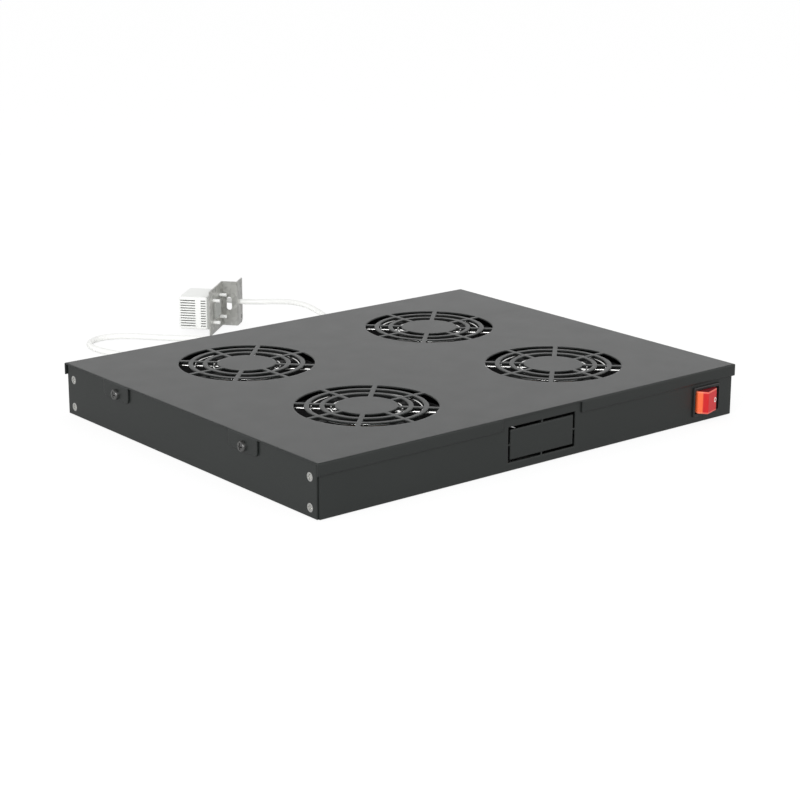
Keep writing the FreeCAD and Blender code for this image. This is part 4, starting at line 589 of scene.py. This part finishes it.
def screwGrid(kind):
    # from the middle of the head's face over its rim, and down the thread to the tip
    s, (reach, recess) = screwSettings, screwKinds[kind]
    core, skin = s["shank"] - s["play"], s["skin"]
    if kind == "pan":
        dome = np.linspace(0, 1, 9)[1:]
        top = s["panRise"] * (1 - s["panFall"] * dome ** 2)
        face = [(nearAxis, top[0])] + list(zip(dome * s["panHead"] * 0.86, top))
        rim = s["panHead"] - skin
        body = [(s["panHead"] * 0.95, s["panRise"] * 0.62), (rim, s["panRise"] * 0.3), (rim, skin),
                (core, skin)]
    else:
        dome = np.array([0.1, 0.2, 0.32, 0.45, 0.56, 0.6, 0.78, 0.95])
        face = [(nearAxis, -skin)] + [(share * s["sunkHead"], -skin) for share in dome]
        body = [(s["sunkHead"], -0.08), (core, -s["sunkDepth"])]
    count = int((reach - s["plainLength"]) / s["threadPitch"])
    thread = [(core - s["threadDepth"] * (k % 2), -s["threadFrom"] - s["threadPitch"] * k)
              for k in range(count)]
    tip = [(s["shank"] * 0.7, -reach + 0.2), (nearAxis, -reach + 0.05)]
    return crossHead(face + body + thread + tip, *recess)


def placeScrews(name, kind, places, material, slotName, node):
    grid = screwGrid(kind)
    points, faces = joinGrids([(aimed(grid, place, axis), False, True) for place, axis in places])
    piece = makePiece(name, points, faces, material, slotName=slotName, sharp=30)
    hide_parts(node)


sidePlaces = [((way * screwSettings["sideFace"], y, z), (way, 0, 0)) for way in (-1, 1)
              for y in screwSettings["sidePlaces"] for z in screwSettings["sideLevels"]]
lidPlaces = [((way * screwSettings["lidFace"], y, screwSettings["lidLevel"]), (way, 0, 0))
             for way in (-1, 1) for y in screwSettings["lidPlaces"]]
fanPlaces = [((x * guardSettings["pitch"][0] + across * screwSettings["fanPitch"] / 2,
               y * guardSettings["pitch"][1] + along * screwSettings["fanPitch"] / 2,
               screwSettings["fanLevel"]), (0, 0, -1))
             for x in (-1, 1) for y in (-1, 1) for across in (-1, 1) for along in (-1, 1)]
placeScrews("sideScrews", "side", sidePlaces, zincPlate, "zinc", "side_screws")
placeScrews("lidScrews", "pan", lidPlaces, blackenedSteel, "black_screw", "lid_screws")
placeScrews("fanScrews", "fan", fanPlaces, zincPlate, "zinc", "fan_mount_screws")
print("screws made")


# rocker

def prismGrid(outline, low, high):
    # an outline carried upwards and closed over at both ends
    outline = np.asarray(outline, float)
    rows = []
    for level, size in ((low, 0.0), (low, 1.0), (high, 1.0), (high, 0.0)):
        shape = outline.mean(axis=0) + (outline - outline.mean(axis=0)) * size
        rows.append(np.column_stack([shape, np.full(len(outline), level)]))
    return np.stack(rows)


def makeRocker():
    # a long flat front that leans with its left end out, and a slanted face round that end
    s = rockerSettings
    outline = [s["raisedEnd"], s["crest"], s["pressedEnd"], *s["back"]]
    grid = prismGrid(outline, -s["height"] / 2, s["height"] / 2)
    pin = turned([(nearAxis, -s["pinReach"]), (s["pinRadius"], -s["pinReach"]),
                  (s["pinRadius"], s["pinReach"]), (nearAxis, s["pinReach"])], 32)
    points, faces = joinGrids([(grid, False, True), (pin, False, True)])
    rocker = makePiece("rocker", points + np.array(s["pivot"]), faces, rockerLens, body="rocker",
                       slotName="red_lens", sharp=s["sharp"])
    bevel = rocker.modifiers.new("softEdges", "BEVEL")
    bevel.width, bevel.segments, bevel.limit_method = s["edge"] * mm, 3, "ANGLE"
    bevel.angle_limit = math.radians(s["sharp"])
    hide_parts("switch_rocker")


def makeRockerRing():
    # a raised ring on the front, near the end that is pressed in
    s = rockerSettings
    (left, out), (right, low) = s["crest"], s["pressedEnd"]
    lean = math.atan2(low - out, right - left)
    place = np.array((s["ringPlace"], out + (s["ringPlace"] - left) * math.tan(lean), 0))
    around = np.linspace(0, 2 * np.pi, 40, endpoint=False)
    inner, outer = s["ringRadius"] - s["markWidth"] / 2, s["ringRadius"] + s["markWidth"] / 2
    section = [(inner, -s["markSink"]), (inner, s["markRise"]), (outer, s["markRise"]),
               (outer, -s["markSink"])]
    ring = np.stack([np.stack([r * np.cos(around), np.full(40, -h), r * np.sin(around)], axis=-1)
                     for r, h in section])
    ring = turnedAboutZ(ring, math.degrees(lean)) + place + np.array(s["pivot"])
    makePiece("rockerRing", *joinGrids([(ring, True, True)]), markWhite, body="rocker",
              slotName="red_lens")


makeRocker()
makeRockerRing()
print("rocker made")


# cord bushings and plug

bushingSettings = {"wall": 177.2, "level": 14.0, "sheet": 1.2,
                   "places": {"mains_bushing": 4.0, "sensor_bushing": 186.0}, "flange": 7.5,
                   "neck": 5.6, "tip": 4.0, "reach": 26.0, "taperFrom": 4.0, "sleeveFrom": 4.5,
                   "slotsFrom": 5.0, "slotsLength": 18.5, "ribs": 7, "ribDepth": 0.9,
                   "inside": 5.2, "bore": 2.82, "skin": 0.02, "steps": 48}


def makeBushing(node, place):
    # a taper whose skin is cut by slots, alternately on its left and right halves
    s = bushingSettings
    along = np.linspace(s["sleeveFrom"], s["reach"] - s["skin"], 64)
    taper = s["neck"] + (s["tip"] - s["neck"]) * (along - s["taperFrom"]) / (s["reach"] - s["taperFrom"])
    angle = np.linspace(0, 2 * np.pi, s["steps"], endpoint=False)
    phase = (along - s["slotsFrom"]) / s["slotsLength"] * s["ribs"]
    cut = np.clip(np.sin(2 * np.pi * phase) * 3 - 0.6, 0, 1) * (phase > 0) * (phase < s["ribs"])
    even = np.floor(phase)[:, None] % 2 == 0
    halves = np.abs(np.where(even, np.cos(angle / 2), np.sin(angle / 2)))
    radius = taper[:, None] - s["ribDepth"] * cut[:, None] * np.clip(halves * 4 - 1.2, 0, 1)
    sleeve = np.stack([radius * np.cos(angle), radius * np.sin(angle),
                       np.repeat(along[:, None], s["steps"], axis=1)], axis=-1)
    neck, inner, rim = s["neck"] - s["skin"], s["flange"] - 1, s["flange"] - s["skin"]
    inside = turned([(s["bore"], -s["inside"]), (inner, -s["inside"]), (inner, -s["sheet"]),
                     (neck, -s["sheet"]), (neck, 0.0), (s["flange"] - 0.5, 0.0), (rim, 0.5),
                     (rim, 1.5), (s["flange"] - 0.6, 2.1), (s["neck"] + 0.9, 2.6),
                     (s["neck"] + 0.1, 3.6)], s["steps"])
    end = turned([(s["tip"] - 0.35, s["reach"]), (s["bore"], s["reach"]),
                  (s["bore"], -s["inside"])], s["steps"])
    grid = np.concatenate([inside, sleeve, end])
    grid = aimed(grid, (place, s["wall"], s["level"]), (0, 1, 0))
    piece = makePiece(f"{node.split('_')[0]}Bushing", *joinGrids([(grid, False, True)]), mattNylon,
                      slotName="black_nylon", sharp=32)
    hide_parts(node)


for node, place in bushingSettings["places"].items():
    makeBushing(node, place)

plugSettings = {"turn": -45.0, "relief": 14.0, "length": 42.0, "width": 27.0, "height": 20.0,
                "wall": 2.0, "mouth": 17.0, "grips": 5, "gripDepth": 0.5, "gripFrom": 0.38,
                "gripTo": 0.62, "corner": 0.34, "rimCorner": 0.2, "bore": 2.82, "thinEnd": 4.0,
                "thicker": 2.6, "ribs": 4.5, "ribDepth": 0.7, "shoulder": 0.36, "neckWide": 7.2,
                "neckTall": 6.6, "steps": 72}


def makePlug():
    # rounded sections carried along the plug: ribbed relief, swelling shoulders, ridged grip and
    # an open shroud that turns in at its rim down to a flat floor
    s = plugSettings
    half, tall, end = s["width"] / 2, s["height"] / 2, s["relief"] + s["length"]
    relief = np.linspace(0.05, s["relief"], 29)
    ribbed = np.sin(relief / s["relief"] * 2 * np.pi * s["ribs"]) > 0.2
    ribs = s["ribDepth"] * ribbed * (relief < s["relief"] - 1.2)
    reliefRadius = s["thinEnd"] + s["thicker"] * relief / s["relief"] - ribs
    rows = [(0.05, s["bore"], s["bore"], 1.0)]
    rows += [(u, r, r, 1.0) for u, r in zip(relief, reliefRadius)]
    swell = np.linspace(0, 1, 10)[1:]
    ease = swell * swell * (3 - 2 * swell)
    rows += [(s["relief"] + s["shoulder"] * s["length"] * t,
              s["neckWide"] + (half - s["neckWide"]) * e,
              s["neckTall"] + (tall - s["neckTall"]) * min(1, e * 1.35),
              1.0 + (s["corner"] - 1.0) * min(1, 1.4 * e)) for t, e in zip(swell, ease)]
    grip = np.linspace(s["gripFrom"], s["gripTo"], 31)
    ridged = (grip - s["gripFrom"]) / (s["gripTo"] - s["gripFrom"]) * 2 * np.pi * s["grips"]
    notch = s["gripDepth"] * np.clip(np.sin(ridged) * 2, 0, 1)
    rows += [(s["relief"] + g * s["length"], half - n, tall, s["corner"]) for g, n in zip(grip, notch)]
    wide, high, floorPlace = half - s["wall"], tall - s["wall"], end - s["mouth"]
    rows += [(end - 0.5, half, tall, s["corner"]),
             (end - 0.12, half - 0.15, tall - 0.15, s["corner"]),
             (end - 0.01, half - 0.5, tall - 0.5, s["corner"])]
    rows += [(*shape, s["rimCorner"]) for shape in (
        (end - 0.01, wide + 0.3, high + 0.3), (end - 0.3, wide, high), (floorPlace, wide, high),
        (floorPlace, wide * 0.5, high * 0.5), (floorPlace, nearAxis, nearAxis))]
    rows = np.array(rows)
    angle = np.linspace(0, 2 * np.pi, s["steps"], endpoint=False) + math.pi / s["steps"]
    cosine, sine = np.cos(angle), np.sin(angle)
    power = rows[:, 3:4]
    across = rows[:, 1:2] * np.sign(cosine) * np.abs(cosine) ** power
    lift = rows[:, 2:3] * np.sign(sine) * np.abs(sine) ** power
    grid = np.stack([np.repeat(rows[:, :1], s["steps"], axis=1), across, lift], axis=-1)
    place = np.array((*leadSettings["plug"][:2], tall + leadSettings["floorGap"]))
    grid = turnedAboutZ(grid, s["turn"]) + place
    piece = makePiece("mainsPlug", *joinGrids([(grid, False, True)]), mattNylon, slotName="black_nylon",
                      sharp=38)
    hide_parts("mains_plug")
    return piece


mainsPlug = makePlug()
print("bushings and plug made")

print("leads laid")


# light, floor and backdrop

lightSettings = {"world": 0.84, "keyPower": 27.0, "keyPlace": (-1.6, -1.2, 0.85), "fillPower": 3.0,
                 "fillPlace": (1.5, -1.2, 1.2), "lampSize": (1.4, 1.0), "floorHalf": 6.0,
                 "floorLevel": -0.0006, "floorTone": (0.93, 0.93, 0.93),
                 "floorSeen": (0.16, 0.16, 0.16), "floorGlow": 0.86, "glossyGlow": 0.36,
                 "ceiling": 0.1, "ceilingFrom": 0.42, "ceilingTo": 0.66}


def addLamp(name, place, power):
    lamp = bpy.data.lights.new(name, "AREA")
    lamp.shape = "RECTANGLE"
    (lamp.size, lamp.size_y), lamp.energy = lightSettings["lampSize"], power
    holder = bpy.data.objects.new(name, lamp)
    holder.location = place
    holder.rotation_mode = "QUATERNION"
    holder.rotation_quaternion = (-Vector(place)).to_track_quat("-Z", "Y")
    bpy.context.scene.collection.objects.link(holder)


def rayKinds(tree):
    # rays that look straight at the surround, and rays that mirror it
    path = tree.nodes.new("ShaderNodeLightPath")
    return (mathNode(tree, "MAXIMUM", path.outputs["Is Camera Ray"], path.outputs["Is Transmission Ray"]),
            path.outputs["Is Glossy Ray"])


def makeFloor():
    # a pale floor that glows where it is looked at, so that it is white but for a faint shadow
    s = lightSettings
    half, level = s["floorHalf"], s["floorLevel"]
    mesh = bpy.data.meshes.new("floor")
    mesh.from_pydata([(-half, -half, level), (half, -half, level), (half, half, level),
                      (-half, half, level)], [], [(0, 1, 2, 3)])
    floor = bpy.data.objects.new("floor", mesh)
    bpy.context.scene.collection.objects.link(floor)
    material = bpy.data.materials.new("paleFloor")
    material.use_nodes = True
    tree = material.node_tree
    shader = tree.nodes["Principled BSDF"]
    looked, mirrored = rayKinds(tree)
    seen = mathNode(tree, "MAXIMUM", looked, mirrored)
    glow = mathNode(tree, "ADD", mathNode(tree, "MULTIPLY", looked, s["floorGlow"]),
                    mathNode(tree, "MULTIPLY", mirrored, s["glossyGlow"]))
    tone = mixNode(tree, seen, s["floorTone"], s["floorSeen"])
    link(tree, (tone, shader.inputs["Base Color"]), (glow, shader.inputs["Emission Strength"]))
    shader.inputs["Emission Color"].default_value = (1, 1, 1, 1)
    shader.inputs["Specular IOR Level"].default_value = 0.0
    mesh.materials.append(material)


def makeWorld():
    # plain white light all round; gloss sees a white wall all round under a grey ceiling
    s = lightSettings
    world = bpy.data.worlds.new("whiteSurround")
    bpy.context.scene.world = world
    world.use_nodes = True
    tree = world.node_tree
    shader = tree.nodes["Background"]
    apart = tree.nodes.new("ShaderNodeSeparateXYZ")
    link(tree, (tree.nodes.new("ShaderNodeTexCoord").outputs["Generated"], apart.inputs["Vector"]))
    ceiling = rampNode(tree, apart.outputs["Z"], s["ceilingFrom"], s["ceilingTo"], 1.0, s["ceiling"],
                       smooth=True)
    looked, mirrored = rayKinds(tree)
    lift = mathNode(tree, "SUBTRACT", ceiling, s["world"])
    strength = mathNode(tree, "ADD", mathNode(tree, "MULTIPLY", mirrored, lift), s["world"])
    strength = mathNode(tree, "MAXIMUM", strength, looked)
    link(tree, (strength, shader.inputs["Strength"]))
    shader.inputs["Color"].default_value = (1, 1, 1, 1)


makeFloor()
makeWorld()
addLamp("keyLamp", lightSettings["keyPlace"], lightSettings["keyPower"])
addLamp("fillLamp", lightSettings["fillPlace"], lightSettings["fillPower"])
print("lit")
